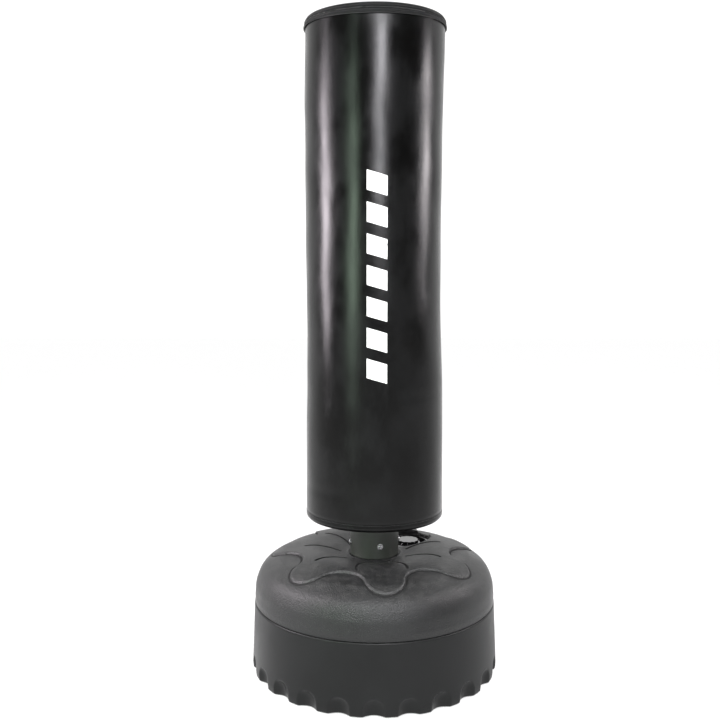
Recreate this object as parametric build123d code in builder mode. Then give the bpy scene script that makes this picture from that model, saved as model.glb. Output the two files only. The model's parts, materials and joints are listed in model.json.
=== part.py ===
from build123d import *
import os
from math import cos, pi, radians, sin, tan

# A free-standing punching bag: a padded bag on a rubber sway buffer, carried by a short neck
# on a wide hollow base that is filled with water or sand.
# Millimetres, +Z up. The origin is the centre of the base's underside, on the floor.
# The front is -Y and +X is to the right.

os.makedirs("parts", exist_ok=True)

# Driving dimensions

GAP = 0.3  # clearance between pieces that only stand beside each other

FOOT_RADIUS = 330.0
SEAM_RADIUS = 323.0
SEAM_HEIGHT = 185.0
FOOT_BELLY = 18.0  # height of the skirt's widest ring
FOOT_ROUND = 8.0
SHELL_WALL = 4.0
SEAM_BEVEL = 2.5
FLOOR_WALL = 5.0
UNDERSIDE_RECESS = 5.0

FLUTES = 24
FLUTE_RADIUS = 30.0
FLUTE_DEPTH = 14.0
FLUTE_HEIGHT = 46.0

CENTRE_HEIGHT = 304.0  # top of the base at the foot of the neck
PETALS = 7
PATTERN_AXIS = -83.5  # direction of the front petal, in degrees from +X
PETAL_TIP = 286.0  # the outline's sizes are at the foot of its drafted wall
PETAL_ROUND = 62.0
VALLEY_RADIUS = 187.0
PETAL_DRAFT = 28.0
GROOVE_START = 92.0
GROOVE_END = 188.0
GROOVE_WIDTH = 5.0
GROOVE_DEPTH = 3.0

WELL_OFFSET = 146.0  # distance of the filler well from the base's axis
WELL_ANGLE = 49.4
WELL_RADIUS = 52.0
WELL_WALL = 2.7
WELL_RIM = 59.7
WELL_SEAT = 300.0  # height of the shoulder that the rim rests on
WELL_FLOOR = 286.0
BORE_RADIUS = 24.6
CAP_TOP = 307.5

NECK_RADIUS = 65.0
NECK_WALL = 3.5
NECK_TOP = 431.0
SPIGOT_RADIUS = 61.2
SPIGOT_TOP = 393.0
SPIGOT_WALL = 6.0
SPIGOT_FLANGE = 71.0
SCREW_HEIGHT = 339.0
SCREW_ANGLE = -76.0
SCREWS = 4

PLATE_THICKNESS = 6.0
BUFFER_HEIGHT = 60.0
BUFFER_RADIUS = 52.0
BUFFER_END_PLATE = 4.0
STUD_RADIUS = 8.0
NUT_HEIGHT = 13.0
FLANGE_RADIUS = 85.0
FLANGE_BOLT_CIRCLE = 70.0
FLANGE_BOLTS = 4

CORE_RADIUS = 55.0
CORE_WALL = 2.5
CORE_TOP = 1640.0
INNER_FOAM_RADIUS = 112.0
BOARD_RADIUS = 174.0
BOTTOM_BOARD = 18.0
TOP_BOARD = 12.0

BAG_BOTTOM = 410.0
BAG_CORNER = 11.0
SKIN = 2.0
NECK_HOLE = 75.0  # hole in the bag's underside, with room for the sway
CAVITY_RADIUS = 90.0
SKIN_TOP = 1680.0
TOTAL_HEIGHT = 1700.0

# The bag's outside: radius and height, full at both ends with a slight waist between them.
BAG_SIDE = [(183.0, 421), (180.3, 700), (177.3, 1000), (178.3, 1300), (179.7, 1560), (180.0, SKIN_TOP)]

# The top of the base, from its shoulder to the foot of the neck: radius and height.
LAND = [(322, 204), (317.5, 240.5), (299, 275), (257, 301), (190, 310.5), (125, 307.5), (72, CENTRE_HEIGHT)]
CROWN = [(300, 278), (257, 304.5), (205, 316), (165, 318), (120, 312), (72, CENTRE_HEIGHT + 1)]


# Helpers


def at_angle(radius, angle, height=0.0):
    """A point at a distance and direction from the vertical axis."""
    return (radius * cos(radians(angle)), radius * sin(radians(angle)), height)


def shifted(points, inward=0.0, down=0.0):
    """Profile points moved towards the axis and downwards."""
    return [(r - inward, z - down) for r, z in points]


def ring_section(inner, outer, bottom, top):
    """A rectangular half section, to be revolved about the vertical axis."""
    with BuildSketch(Plane.XZ) as section:
        with Locations(((inner + outer) / 2, (bottom + top) / 2)):
            Rectangle(outer - inner, top - bottom)
    return section.sketch


def radial_planes(radius, height, count, first_angle):
    """Planes that face outwards, evenly spaced round the vertical axis."""
    planes = []
    for number in range(count):
        angle = first_angle + 360 / count * number
        planes.append(Plane(origin=at_angle(radius, angle, height), z_dir=at_angle(1, angle)))
    return planes


# Base: lower shell

flute_tilt = 180 / pi * (FLUTE_DEPTH - 1) / FLUTE_HEIGHT


def flute_axes(middle_height):
    """Where the flutes' leaning axes stand at one height: one flute faces the front."""
    foot = FOOT_RADIUS - FLUTE_DEPTH + FLUTE_RADIUS
    return PolarLocations(foot + middle_height * tan(radians(flute_tilt)), FLUTES, start_angle=-90)


with BuildPart() as lower_cavity:
    with BuildSketch(Plane.XZ):
        Polygon(
            (0, UNDERSIDE_RECESS + FLOOR_WALL),
            (FOOT_RADIUS - 3 * SHELL_WALL, UNDERSIDE_RECESS + FLOOR_WALL),
            (FOOT_RADIUS - SHELL_WALL, FOOT_BELLY),
            (SEAM_RADIUS - SHELL_WALL - 1, SEAM_HEIGHT + 1),
            (0, SEAM_HEIGHT + 1),
            align=None,
        )
    revolve(axis=Axis.Z)
    with flute_axes(40):
        with Locations((0, 0, 40)):
            Cylinder(FLUTE_RADIUS + SHELL_WALL, 160, rotation=(0, flute_tilt, 0), mode=Mode.SUBTRACT)

with BuildPart() as base_lower_shell:
    with BuildSketch(Plane.XZ):
        with BuildLine():
            Polyline(
                (0, UNDERSIDE_RECESS),
                (286, UNDERSIDE_RECESS),
                (290, 0),
                (FOOT_RADIUS - FOOT_ROUND - 1, 0),
            )
            foot = ThreePointArc(
                (FOOT_RADIUS - FOOT_ROUND - 1, 0),
                (FOOT_RADIUS - 0.3 * FOOT_ROUND - 1, 0.3 * FOOT_ROUND),
                (FOOT_RADIUS - 1, FOOT_ROUND),
            )
            Polyline(
                foot @ 1,
                (FOOT_RADIUS, FOOT_BELLY),
                (SEAM_RADIUS, SEAM_HEIGHT - SEAM_BEVEL),
                (SEAM_RADIUS - SEAM_BEVEL, SEAM_HEIGHT),
                (0, SEAM_HEIGHT),
                (0, UNDERSIDE_RECESS),
            )
        make_face()
    revolve(axis=Axis.Z)
    with flute_axes(40):
        with Locations((0, 0, 40)):
            Cylinder(FLUTE_RADIUS, 160, rotation=(0, flute_tilt, 0), mode=Mode.SUBTRACT)
    add(lower_cavity.part, mode=Mode.SUBTRACT)
    # The tongue that the upper shell is welded round.
    with BuildSketch(Plane.XZ):
        Polygon(
            (SEAM_RADIUS - 10, SEAM_HEIGHT - 12),
            (SEAM_RADIUS - 4, SEAM_HEIGHT - 18),
            (SEAM_RADIUS - 4, SEAM_HEIGHT),
            (SEAM_RADIUS - 5.3, SEAM_HEIGHT),
            (SEAM_RADIUS - 5.3, SEAM_HEIGHT + 10),
            (SEAM_RADIUS - 10, SEAM_HEIGHT + 10),
            align=None,
        )
    revolve(axis=Axis.Z)
    # Ribs under the floor, which stay clear of what the base stands on.
    with BuildSketch(Plane.XY.offset(UNDERSIDE_RECESS / 2)):
        with PolarLocations(173, 8, start_angle=-90):
            Rectangle(232, 6)
        Circle(60)
        Circle(54, mode=Mode.SUBTRACT)
    extrude(amount=UNDERSIDE_RECESS / 2 + 1)

base_lower_shell.part.label = "base_lower_shell"
export_step(base_lower_shell.part, "parts/base_lower_shell.step")


# Base: upper shell

well_x, well_y, _ = at_angle(WELL_OFFSET, WELL_ANGLE)
side_radius = LAND[0][0]
neck_seat = CENTRE_HEIGHT - SHELL_WALL - 1.5  # underside of the dome round the neck

with BuildPart() as upper_cavity:
    with BuildSketch(Plane.XZ):
        with BuildLine():
            roof = Spline(
                *shifted(LAND[:3], inward=SHELL_WALL),
                *shifted(LAND[3:], down=SHELL_WALL + 1.5),
                tangents=[(0, 1), (-1, 0)],
            )
            Polyline(
                roof @ 1,
                (0, neck_seat),
                (0, SEAM_HEIGHT - 1),
                (side_radius - SHELL_WALL, SEAM_HEIGHT - 1),
                roof @ 0,
            )
        make_face()
    revolve(axis=Axis.Z)

# The raised petals: a crown of revolution, trimmed to a lobed outline with drafted walls.
petal_centre = PETAL_TIP - PETAL_ROUND
half_step = pi / PETALS
half_chord = petal_centre * sin(half_step)
chord_middle = petal_centre * cos(half_step)
valley_round = (half_chord**2 + (chord_middle - VALLEY_RADIUS) ** 2 - PETAL_ROUND**2) / (
    2 * (chord_middle - VALLEY_RADIUS + PETAL_ROUND)
)
valley_centre = VALLEY_RADIUS + valley_round

with BuildPart() as petals:
    with BuildSketch(Plane.XY.offset(CROWN[0][1])):
        with BuildLine():
            for number in range(PETALS):
                angle = PATTERN_AXIS + 360 / PETALS * number
                centre = Vector(*at_angle(petal_centre, angle))
                before = Vector(*at_angle(valley_centre, angle - 180 / PETALS))
                after = Vector(*at_angle(valley_centre, angle + 180 / PETALS))
                share = PETAL_ROUND / (PETAL_ROUND + valley_round)
                ThreePointArc(
                    centre + (before - centre) * share,
                    Vector(*at_angle(PETAL_TIP, angle)),
                    centre + (after - centre) * share,
                )
                following = Vector(*at_angle(petal_centre, angle + 360 / PETALS))
                ThreePointArc(
                    centre + (after - centre) * share,
                    Vector(*at_angle(VALLEY_RADIUS, angle + 180 / PETALS)),
                    following + (after - following) * share,
                )
        make_face()
    extrude(amount=45, taper=PETAL_DRAFT)
    with BuildSketch(Plane.XZ) as crown_section:
        with BuildLine():
            crown = Spline(*CROWN, tangents=[(-0.7, 0.7), (-1, 0)])
            Polyline(crown @ 1, (0, CROWN[-1][1]), (0, CROWN[0][1] - 1), (CROWN[0][0], CROWN[0][1] - 1), crown @ 0)
        make_face()
    revolve(axis=Axis.Z, mode=Mode.INTERSECT)

# The curved grooves: they follow the crown's surface at an even depth.
groove_bend = 9.0
groove_middle = (GROOVE_START + GROOVE_END) / 2
groove_offsets = [20, 60, 100, 180, -20, -60, -100, -140]

with BuildPart() as grooves:
    with BuildSketch(Plane.XY.offset(CENTRE_HEIGHT - 5)):
        for offset_angle in groove_offsets:
            bend = groove_bend if offset_angle > 0 else -groove_bend
            with Locations(Location((0, 0, 0), (0, 0, PATTERN_AXIS + offset_angle))):
                SlotArc(
                    ThreePointArc((GROOVE_START, 0), (groove_middle, bend), (GROOVE_END, 0), mode=Mode.PRIVATE),
                    GROOVE_WIDTH,
                )
    extrude(amount=30)
    with BuildSketch(Plane.XZ):
        with BuildLine():
            bed = Spline(*shifted(CROWN, down=GROOVE_DEPTH), tangents=[(-0.7, 0.7), (-1, 0)])
            Polyline(bed @ 1, (bed @ 1) + Vector(0, 40), (CROWN[0][0], 360), bed @ 0)
        make_face()
    revolve(axis=Axis.Z, mode=Mode.INTERSECT)

with BuildPart() as base_upper_shell:
    with BuildSketch(Plane.XZ):
        with BuildLine():
            top = Spline(*LAND, tangents=[(0, 1), (-1, 0)])
            Polyline(
                top @ 1,
                (0, CENTRE_HEIGHT),
                (0, SEAM_HEIGHT),
                (side_radius - SEAM_BEVEL, SEAM_HEIGHT),
                (side_radius, SEAM_HEIGHT + SEAM_BEVEL),
                top @ 0,
            )
        make_face()
    revolve(axis=Axis.Z)
    add(petals.part)
    add(upper_cavity.part, mode=Mode.SUBTRACT)
    # A seat for the filler well.
    with BuildSketch(Plane.XY.offset(WELL_SEAT - 2 * SHELL_WALL)):
        with Locations((well_x, well_y)):
            Circle(WELL_RIM + SHELL_WALL)
    extrude(amount=2 * SHELL_WALL + 2)
    with BuildSketch(Plane.XY.offset(WELL_SEAT)):
        with Locations((well_x, well_y)):
            Circle(WELL_RIM + GAP)
    extrude(amount=30, taper=-12, mode=Mode.SUBTRACT)
    with BuildSketch(Plane.XY.offset(WELL_SEAT - 20)):
        with Locations((well_x, well_y)):
            Circle(WELL_RADIUS + WELL_WALL + GAP)
    extrude(amount=30, mode=Mode.SUBTRACT)
    add(grooves.part, mode=Mode.SUBTRACT)
    # A low moulded ring round the foot of the neck.
    add(ring_section(NECK_RADIUS + 4, NECK_RADIUS + 9, CENTRE_HEIGHT - 2, CENTRE_HEIGHT + 3.5))
    revolve(axis=Axis.Z)
    with BuildSketch(Plane.XY.offset(neck_seat)):
        Circle(SPIGOT_RADIUS)
    extrude(amount=2 * SHELL_WALL, mode=Mode.SUBTRACT)

base_upper_shell.part.label = "base_upper_shell"
export_step(base_upper_shell.part, "parts/base_upper_shell.step")


# Base: the hollow spigot that the neck tube slides over, with its flange welded under the dome

with BuildPart() as neck_spigot:
    with BuildSketch(Plane.XZ):
        Polygon(
            (SPIGOT_RADIUS - SPIGOT_WALL, neck_seat - SHELL_WALL),
            (SPIGOT_FLANGE, neck_seat - SHELL_WALL),
            (SPIGOT_FLANGE, neck_seat),
            (SPIGOT_RADIUS, neck_seat),
            (SPIGOT_RADIUS, SPIGOT_TOP - 2),
            (SPIGOT_RADIUS - 2, SPIGOT_TOP),
            (0, SPIGOT_TOP),
            (0, SPIGOT_TOP - SPIGOT_WALL),
            (SPIGOT_RADIUS - SPIGOT_WALL, SPIGOT_TOP - SPIGOT_WALL),
            align=None,
        )
    revolve(axis=Axis.Z)
    with BuildSketch(*radial_planes(0, SCREW_HEIGHT, SCREWS, SCREW_ANGLE)):
        Circle(3.05)
    extrude(amount=SPIGOT_RADIUS + 2, mode=Mode.SUBTRACT)

neck_spigot.part.label = "neck_spigot"
export_step(neck_spigot.part, "parts/neck_spigot.step")


# Filler: well, seal ring and cap

well_plane = Plane(origin=(well_x, well_y, 0), x_dir=at_angle(1, WELL_ANGLE), z_dir=(0, 0, 1))
well_axis = Axis((well_x, well_y, 0), (0, 0, 1))
well_section = Plane(origin=(well_x, well_y, 0), x_dir=at_angle(1, WELL_ANGLE), z_dir=at_angle(1, WELL_ANGLE - 90))
collar_top = WELL_SEAT - 6.0
collar_bottom = WELL_FLOOR - 24.0
seal_height = 2.0
cap_flange = collar_top + seal_height
cap_radius = 34.0
crown_radius = 30.0

with BuildPart() as filler_well:
    with BuildSketch(well_section):
        Polygon(
            (BORE_RADIUS, collar_bottom),
            (BORE_RADIUS + 4, collar_bottom),
            (BORE_RADIUS + 4, WELL_FLOOR - 4),
            (WELL_RADIUS + WELL_WALL, WELL_FLOOR - 4),
            (WELL_RADIUS + WELL_WALL, WELL_SEAT),
            (WELL_RIM, WELL_SEAT),
            (WELL_RIM, WELL_SEAT + 3),
            (WELL_RADIUS + 1, WELL_SEAT + 3),
            (WELL_RADIUS, WELL_SEAT + 2),
            (WELL_RADIUS, WELL_FLOOR),
            (BORE_RADIUS + 7, WELL_FLOOR),
            (BORE_RADIUS + 7, collar_top),
            (BORE_RADIUS, collar_top),
            align=None,
        )
    revolve(axis=well_axis)

filler_well.part.label = "filler_well"
export_step(filler_well.part, "parts/filler_well.step")

with BuildPart() as filler_seal:
    with BuildSketch(well_plane.offset(collar_top)):
        Circle(BORE_RADIUS + 7)
        Circle(BORE_RADIUS + 0.5, mode=Mode.SUBTRACT)
    extrude(amount=seal_height)

filler_seal.part.label = "filler_seal"
export_step(filler_seal.part, "parts/filler_seal.step")

with BuildPart() as filler_cap:
    with BuildSketch(well_plane.offset(cap_flange)):
        Circle(cap_radius)
    extrude(amount=3.5)
    with BuildSketch(well_plane.offset(cap_flange + 3.5)):
        Circle(crown_radius)
        with PolarLocations(crown_radius + 4.5, 12):
            Circle(6.5, mode=Mode.SUBTRACT)
    extrude(amount=CAP_TOP - cap_flange - 3.5)
    fillet(filler_cap.faces().sort_by(Axis.Z)[-1].edges(), 1.2)
    with BuildSketch(well_plane.offset(cap_flange)):
        Circle(BORE_RADIUS - 0.4)
        Circle(BORE_RADIUS - 3.4, mode=Mode.SUBTRACT)
    extrude(amount=-22)

filler_cap.part.label = "filler_cap"
export_step(filler_cap.part, "parts/filler_cap.step")


# Neck: tube, screws and washers

washer_thickness = 1.2

with BuildPart() as neck_tube:
    with BuildSketch(Plane.XY.offset(CENTRE_HEIGHT + 1.5)):
        Circle(NECK_RADIUS)
        Circle(NECK_RADIUS - NECK_WALL, mode=Mode.SUBTRACT)
    extrude(amount=NECK_TOP - CENTRE_HEIGHT - 1.5)
    chamfer(neck_tube.edges().filter_by(GeomType.CIRCLE).sort_by(Axis.Z)[:2], 0.6)
    with BuildSketch(*radial_planes(0, SCREW_HEIGHT, SCREWS, SCREW_ANGLE)):
        Circle(3.4)
    extrude(amount=NECK_RADIUS + 2, mode=Mode.SUBTRACT)

neck_tube.part.label = "neck_tube"
export_step(neck_tube.part, "parts/neck_tube.step")

with BuildPart(*radial_planes(NECK_RADIUS + 0.05, SCREW_HEIGHT, SCREWS, SCREW_ANGLE)) as neck_washers:
    Cylinder(8, washer_thickness, align=(Align.CENTER, Align.CENTER, Align.MIN))
    Cylinder(3.3, 3 * washer_thickness, mode=Mode.SUBTRACT)

neck_washers.part.label = "neck_washers"
export_step(neck_washers.part, "parts/neck_washers.step")

head_planes = radial_planes(NECK_RADIUS + 0.05 + washer_thickness, SCREW_HEIGHT, SCREWS, SCREW_ANGLE)

with BuildPart(*head_planes) as neck_screws:
    Cylinder(6.5, 3.6, align=(Align.CENTER, Align.CENTER, Align.MIN))
    rims = neck_screws.edges().filter_by(GeomType.CIRCLE)
    fillet([rim for rim in rims if rim.center().X**2 + rim.center().Y**2 > (NECK_RADIUS + 3) ** 2], 2.2)
    Cylinder(3.0, 14.5, align=(Align.CENTER, Align.CENTER, Align.MAX))
    with BuildSketch(*[plane.offset(3.6) for plane in head_planes]):
        RegularPolygon(2.3, 6)
    extrude(amount=-2.2, mode=Mode.SUBTRACT)

neck_screws.part.label = "neck_screws"
export_step(neck_screws.part, "parts/neck_screws.step")


# Sway buffer: a rubber block bonded between two steel plates with studs

buffer_bottom = NECK_TOP + PLATE_THICKNESS
buffer_top = buffer_bottom + BUFFER_HEIGHT

with BuildPart() as lower_mount_plate:
    with BuildSketch(Plane.XY.offset(NECK_TOP)):
        Circle(NECK_RADIUS)
    extrude(amount=PLATE_THICKNESS)
    with BuildSketch(Plane.XY.offset(NECK_TOP)):
        Circle(NECK_RADIUS - NECK_WALL - GAP)
    extrude(amount=-8)
    with BuildSketch(Plane.XY.offset(NECK_TOP - 8)):
        Circle(STUD_RADIUS + GAP)
    extrude(amount=8 + PLATE_THICKNESS, mode=Mode.SUBTRACT)

lower_mount_plate.part.label = "lower_mount_plate"
export_step(lower_mount_plate.part, "parts/lower_mount_plate.step")

with BuildPart() as buffer_lower_plate:
    with BuildSketch(Plane.XY.offset(buffer_bottom)):
        Circle(BUFFER_RADIUS)
    extrude(amount=BUFFER_END_PLATE)
    with BuildSketch(Plane.XY.offset(buffer_bottom)):
        Circle(STUD_RADIUS)
    extrude(amount=-PLATE_THICKNESS - 8 - NUT_HEIGHT - 5)

buffer_lower_plate.part.label = "buffer_lower_plate"
export_step(buffer_lower_plate.part, "parts/buffer_lower_plate.step")

with BuildPart() as buffer_upper_plate:
    with BuildSketch(Plane.XY.offset(buffer_top - BUFFER_END_PLATE)):
        Circle(BUFFER_RADIUS)
    extrude(amount=BUFFER_END_PLATE)
    with BuildSketch(Plane.XY.offset(buffer_top)):
        Circle(STUD_RADIUS)
    extrude(amount=PLATE_THICKNESS + 2 + NUT_HEIGHT + 5)

buffer_upper_plate.part.label = "buffer_upper_plate"
export_step(buffer_upper_plate.part, "parts/buffer_upper_plate.step")

with BuildPart() as rubber_buffer:
    with BuildSketch(Plane.XZ):
        with BuildLine():
            low = buffer_bottom + BUFFER_END_PLATE
            high = buffer_top - BUFFER_END_PLATE
            waist = ThreePointArc(
                (BUFFER_RADIUS - 1, low), (BUFFER_RADIUS - 8, (low + high) / 2), (BUFFER_RADIUS - 1, high)
            )
            Polyline(waist @ 1, (0, high), (0, low), waist @ 0)
        make_face()
    revolve(axis=Axis.Z)

rubber_buffer.part.label = "rubber_buffer"
export_step(rubber_buffer.part, "parts/rubber_buffer.step")


def stud_nut(base_height):
    """A hexagon nut on a buffer stud, standing on base_height."""
    with BuildPart() as nut:
        with BuildSketch(Plane.XY.offset(base_height)):
            RegularPolygon(13.8, 6)
            Circle(STUD_RADIUS + 0.05, mode=Mode.SUBTRACT)
        extrude(amount=NUT_HEIGHT)
    return nut.part


buffer_lower_nut = stud_nut(NECK_TOP - 8 - NUT_HEIGHT)
buffer_lower_nut.label = "buffer_lower_nut"
export_step(buffer_lower_nut, "parts/buffer_lower_nut.step")

upper_plate_top = buffer_top + PLATE_THICKNESS + 2
buffer_upper_nut = stud_nut(upper_plate_top)
buffer_upper_nut.label = "buffer_upper_nut"
export_step(buffer_upper_nut, "parts/buffer_upper_nut.step")

bolt_radius = 5.0
bolt_places = PolarLocations(FLANGE_BOLT_CIRCLE, FLANGE_BOLTS, start_angle=45)

with BuildPart() as upper_mount_plate:
    with BuildSketch(Plane.XY.offset(buffer_top)):
        Circle(FLANGE_RADIUS)
        Circle(STUD_RADIUS + GAP, mode=Mode.SUBTRACT)
        with bolt_places:
            Circle(bolt_radius + GAP, mode=Mode.SUBTRACT)
    extrude(amount=PLATE_THICKNESS + 2)

upper_mount_plate.part.label = "upper_mount_plate"
export_step(upper_mount_plate.part, "parts/upper_mount_plate.step")


# Core: tube with its foot flange, bottom board, bolts, end cap, top board

flange_top = upper_plate_top + PLATE_THICKNESS
board_top = flange_top + BOTTOM_BOARD
nut_seat = flange_top + 8

with BuildPart() as core_tube:
    with BuildSketch(Plane.XY.offset(upper_plate_top)):
        Circle(FLANGE_RADIUS)
        Circle(CORE_RADIUS - CORE_WALL, mode=Mode.SUBTRACT)
        with bolt_places:
            Circle(bolt_radius + GAP, mode=Mode.SUBTRACT)
    extrude(amount=PLATE_THICKNESS)
    with BuildSketch(Plane.XY.offset(upper_plate_top)):
        Circle(CORE_RADIUS)
        Circle(CORE_RADIUS - CORE_WALL, mode=Mode.SUBTRACT)
    extrude(amount=CORE_TOP - upper_plate_top)

core_tube.part.label = "core_tube"
export_step(core_tube.part, "parts/core_tube.step")

with BuildPart() as bottom_board:
    with BuildSketch(Plane.XY.offset(flange_top)):
        Circle(BOARD_RADIUS)
        Circle(CORE_RADIUS + GAP, mode=Mode.SUBTRACT)
        with bolt_places:
            Circle(bolt_radius + GAP, mode=Mode.SUBTRACT)
    extrude(amount=BOTTOM_BOARD)
    with BuildSketch(Plane.XY.offset(nut_seat)):
        with bolt_places:
            Circle(11)
    extrude(amount=BOTTOM_BOARD, mode=Mode.SUBTRACT)

bottom_board.part.label = "bottom_board"
export_step(bottom_board.part, "parts/bottom_board.step")

with BuildPart() as flange_bolts:
    with BuildSketch(Plane.XY.offset(buffer_top)):
        with bolt_places:
            RegularPolygon(9.8, 6)
    extrude(amount=-6.4)
    with BuildSketch(Plane.XY.offset(buffer_top)):
        with bolt_places:
            Circle(bolt_radius)
    extrude(amount=board_top - buffer_top - 1)

flange_bolts.part.label = "flange_bolts"
export_step(flange_bolts.part, "parts/flange_bolts.step")

with BuildPart() as flange_nuts:
    with BuildSketch(Plane.XY.offset(nut_seat)):
        with bolt_places:
            RegularPolygon(9.8, 6)
            Circle(bolt_radius + 0.05, mode=Mode.SUBTRACT)
    extrude(amount=8)

flange_nuts.part.label = "flange_nuts"
export_step(flange_nuts.part, "parts/flange_nuts.step")

end_cap_top = CORE_TOP + 8
board_screws = PolarLocations(30, 4, start_angle=45)

with BuildPart() as core_end_cap:
    with BuildSketch(Plane.XY.offset(CORE_TOP)):
        Circle(CORE_RADIUS)
    extrude(amount=8)
    with BuildSketch(Plane.XY.offset(CORE_TOP)):
        Circle(CORE_RADIUS - CORE_WALL - GAP)
    extrude(amount=-25)
    with BuildSketch(Plane.XY.offset(CORE_TOP - 25)):
        with board_screws:
            Circle(2.25)
    extrude(amount=33, mode=Mode.SUBTRACT)

core_end_cap.part.label = "core_end_cap"
export_step(core_end_cap.part, "parts/core_end_cap.step")

with BuildPart() as top_board:
    with BuildSketch(Plane.XY.offset(end_cap_top)):
        Circle(BOARD_RADIUS)
        with board_screws:
            Circle(2.5, mode=Mode.SUBTRACT)
    extrude(amount=TOP_BOARD)

top_board.part.label = "top_board"
export_step(top_board.part, "parts/top_board.step")

with BuildPart() as top_board_screws:
    with BuildSketch(Plane.XY.offset(end_cap_top + TOP_BOARD)):
        with board_screws:
            Circle(5)
    extrude(amount=2)
    with BuildSketch(Plane.XY.offset(end_cap_top + TOP_BOARD)):
        with board_screws:
            Circle(2.2)
    extrude(amount=-34)

top_board_screws.part.label = "top_board_screws"
export_step(top_board_screws.part, "parts/top_board_screws.step")


# Padding

with BuildPart() as inner_foam:
    add(ring_section(CORE_RADIUS + GAP, INNER_FOAM_RADIUS, board_top + GAP, end_cap_top - GAP))
    revolve(axis=Axis.Z)

inner_foam.part.label = "inner_foam"
export_step(inner_foam.part, "parts/inner_foam.step")

foam_bottom = board_top + GAP
foam_top = end_cap_top - GAP
padding_side = shifted(BAG_SIDE, inward=SKIN + 2 * GAP)

with BuildPart() as outer_foam:
    with BuildSketch(Plane.XZ) as padding_section:
        with BuildLine():
            side = Spline(*padding_side, tangents=[(0, 1), (0, 1)])
            Polyline(
                side @ 1,
                (INNER_FOAM_RADIUS + GAP, SKIN_TOP),
                (INNER_FOAM_RADIUS + GAP, BAG_SIDE[0][1]),
                side @ 0,
            )
        make_face()
        with Locations(((INNER_FOAM_RADIUS + BAG_SIDE[0][0]) / 2, (foam_bottom + foam_top) / 2)):
            Rectangle(200, foam_top - foam_bottom, mode=Mode.INTERSECT)
    revolve(axis=Axis.Z)

outer_foam.part.label = "outer_foam"
export_step(outer_foam.part, "parts/outer_foam.step")

panel_thickness = 3.0
corner_centre = BAG_SIDE[0][0] - BAG_CORNER

with BuildPart() as lower_foam_ring:
    with BuildSketch(Plane.XZ):
        with BuildLine():
            corner = ThreePointArc(
                (corner_centre, BAG_BOTTOM + panel_thickness + 2 * GAP),
                (corner_centre + 5.6, BAG_SIDE[0][1] - 5.3),
                (BAG_SIDE[0][0] - 2.9, BAG_SIDE[0][1]),
            )
            Polyline(
                corner @ 1,
                (BAG_SIDE[0][0] - 4.2, flange_top - GAP),
                (CAVITY_RADIUS, flange_top - GAP),
                (CAVITY_RADIUS, BAG_BOTTOM + panel_thickness + 2 * GAP),
                corner @ 0,
            )
        make_face()
    revolve(axis=Axis.Z)

lower_foam_ring.part.label = "lower_foam_ring"
export_step(lower_foam_ring.part, "parts/lower_foam_ring.step")

top_foam_bottom = end_cap_top + TOP_BOARD + 2 + GAP
top_foam_top = TOTAL_HEIGHT - 8

with BuildPart() as top_foam:
    with BuildSketch(Plane.XY.offset(top_foam_bottom)):
        Circle(BOARD_RADIUS)
    extrude(amount=top_foam_top - top_foam_bottom)
    fillet(top_foam.faces().sort_by(Axis.Z)[-1].edges(), 12)

top_foam.part.label = "top_foam"
export_step(top_foam.part, "parts/top_foam.step")


# Cover: skin, underside panel and its piping

slope = cos(radians(45))
skin_start = 1.2  # the skin's lower edge, just outside the piping

with BuildPart() as bag_skin:
    with BuildSketch(Plane.XZ):
        with BuildLine():
            outer_corner = ThreePointArc(
                (corner_centre + skin_start, BAG_BOTTOM + 0.03),
                (corner_centre + BAG_CORNER * slope, BAG_SIDE[0][1] - BAG_CORNER * slope),
                BAG_SIDE[0],
            )
            outer_side = Spline(*BAG_SIDE, tangents=[(0, 1), (0, 1)])
            inner_side = Spline(*reversed(shifted(BAG_SIDE, inward=SKIN)), tangents=[(0, -1), (0, -1)])
            inner_corner = ThreePointArc(
                inner_side @ 1,
                (corner_centre + (BAG_CORNER - SKIN) * slope, BAG_SIDE[0][1] - (BAG_CORNER - SKIN) * slope),
                (corner_centre + skin_start, BAG_BOTTOM + SKIN + 0.03),
            )
            Line(outer_side @ 1, inner_side @ 0)
            Line(inner_corner @ 1, outer_corner @ 0)
        make_face()
    revolve(axis=Axis.Z)

bag_skin.part.label = "bag_skin"
export_step(bag_skin.part, "parts/bag_skin.step")


def ring_cord(ring_radius, height, cord_radius):
    """A round piping cord sewn in a circle."""
    with BuildPart() as cord:
        with BuildSketch(Plane.XZ):
            with Locations((ring_radius, height)):
                Circle(cord_radius)
        revolve(axis=Axis.Z)
    return cord.part


piping_radius = 1.8
bottom_piping = ring_cord(corner_centre - 1, BAG_BOTTOM + piping_radius, piping_radius)
bottom_piping.label = "bottom_piping"
export_step(bottom_piping, "parts/bottom_piping.step")

with BuildPart() as bottom_panel:
    with BuildSketch(Plane.XY.offset(BAG_BOTTOM)):
        Circle(corner_centre - 1 - piping_radius - GAP)
        Circle(NECK_HOLE, mode=Mode.SUBTRACT)
    extrude(amount=panel_thickness)

bottom_panel.part.label = "bottom_panel"
export_step(bottom_panel.part, "parts/bottom_panel.step")


# Top closure: hem band, zip, lid rim, lid piping and lid

hem_bottom = TOTAL_HEIGHT - 24
hem_top = hem_bottom + 7.5
zip_height = TOTAL_HEIGHT - 13
rim_bottom = TOTAL_HEIGHT - 9.5
hem_inner = BAG_SIDE[-1][0] + 0.4

band_piping = ring_cord(hem_inner + 1.8, hem_bottom - 1.9, 1.6)
band_piping.label = "band_piping"
export_step(band_piping, "parts/band_piping.step")

with BuildPart() as hem_band:
    with BuildSketch(Plane.XZ):
        Polygon(
            (hem_inner, hem_bottom),
            (hem_inner + 3, hem_bottom),
            (hem_inner + 2.2, hem_top),
            (hem_inner, hem_top),
            align=None,
        )
    revolve(axis=Axis.Z)

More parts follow.
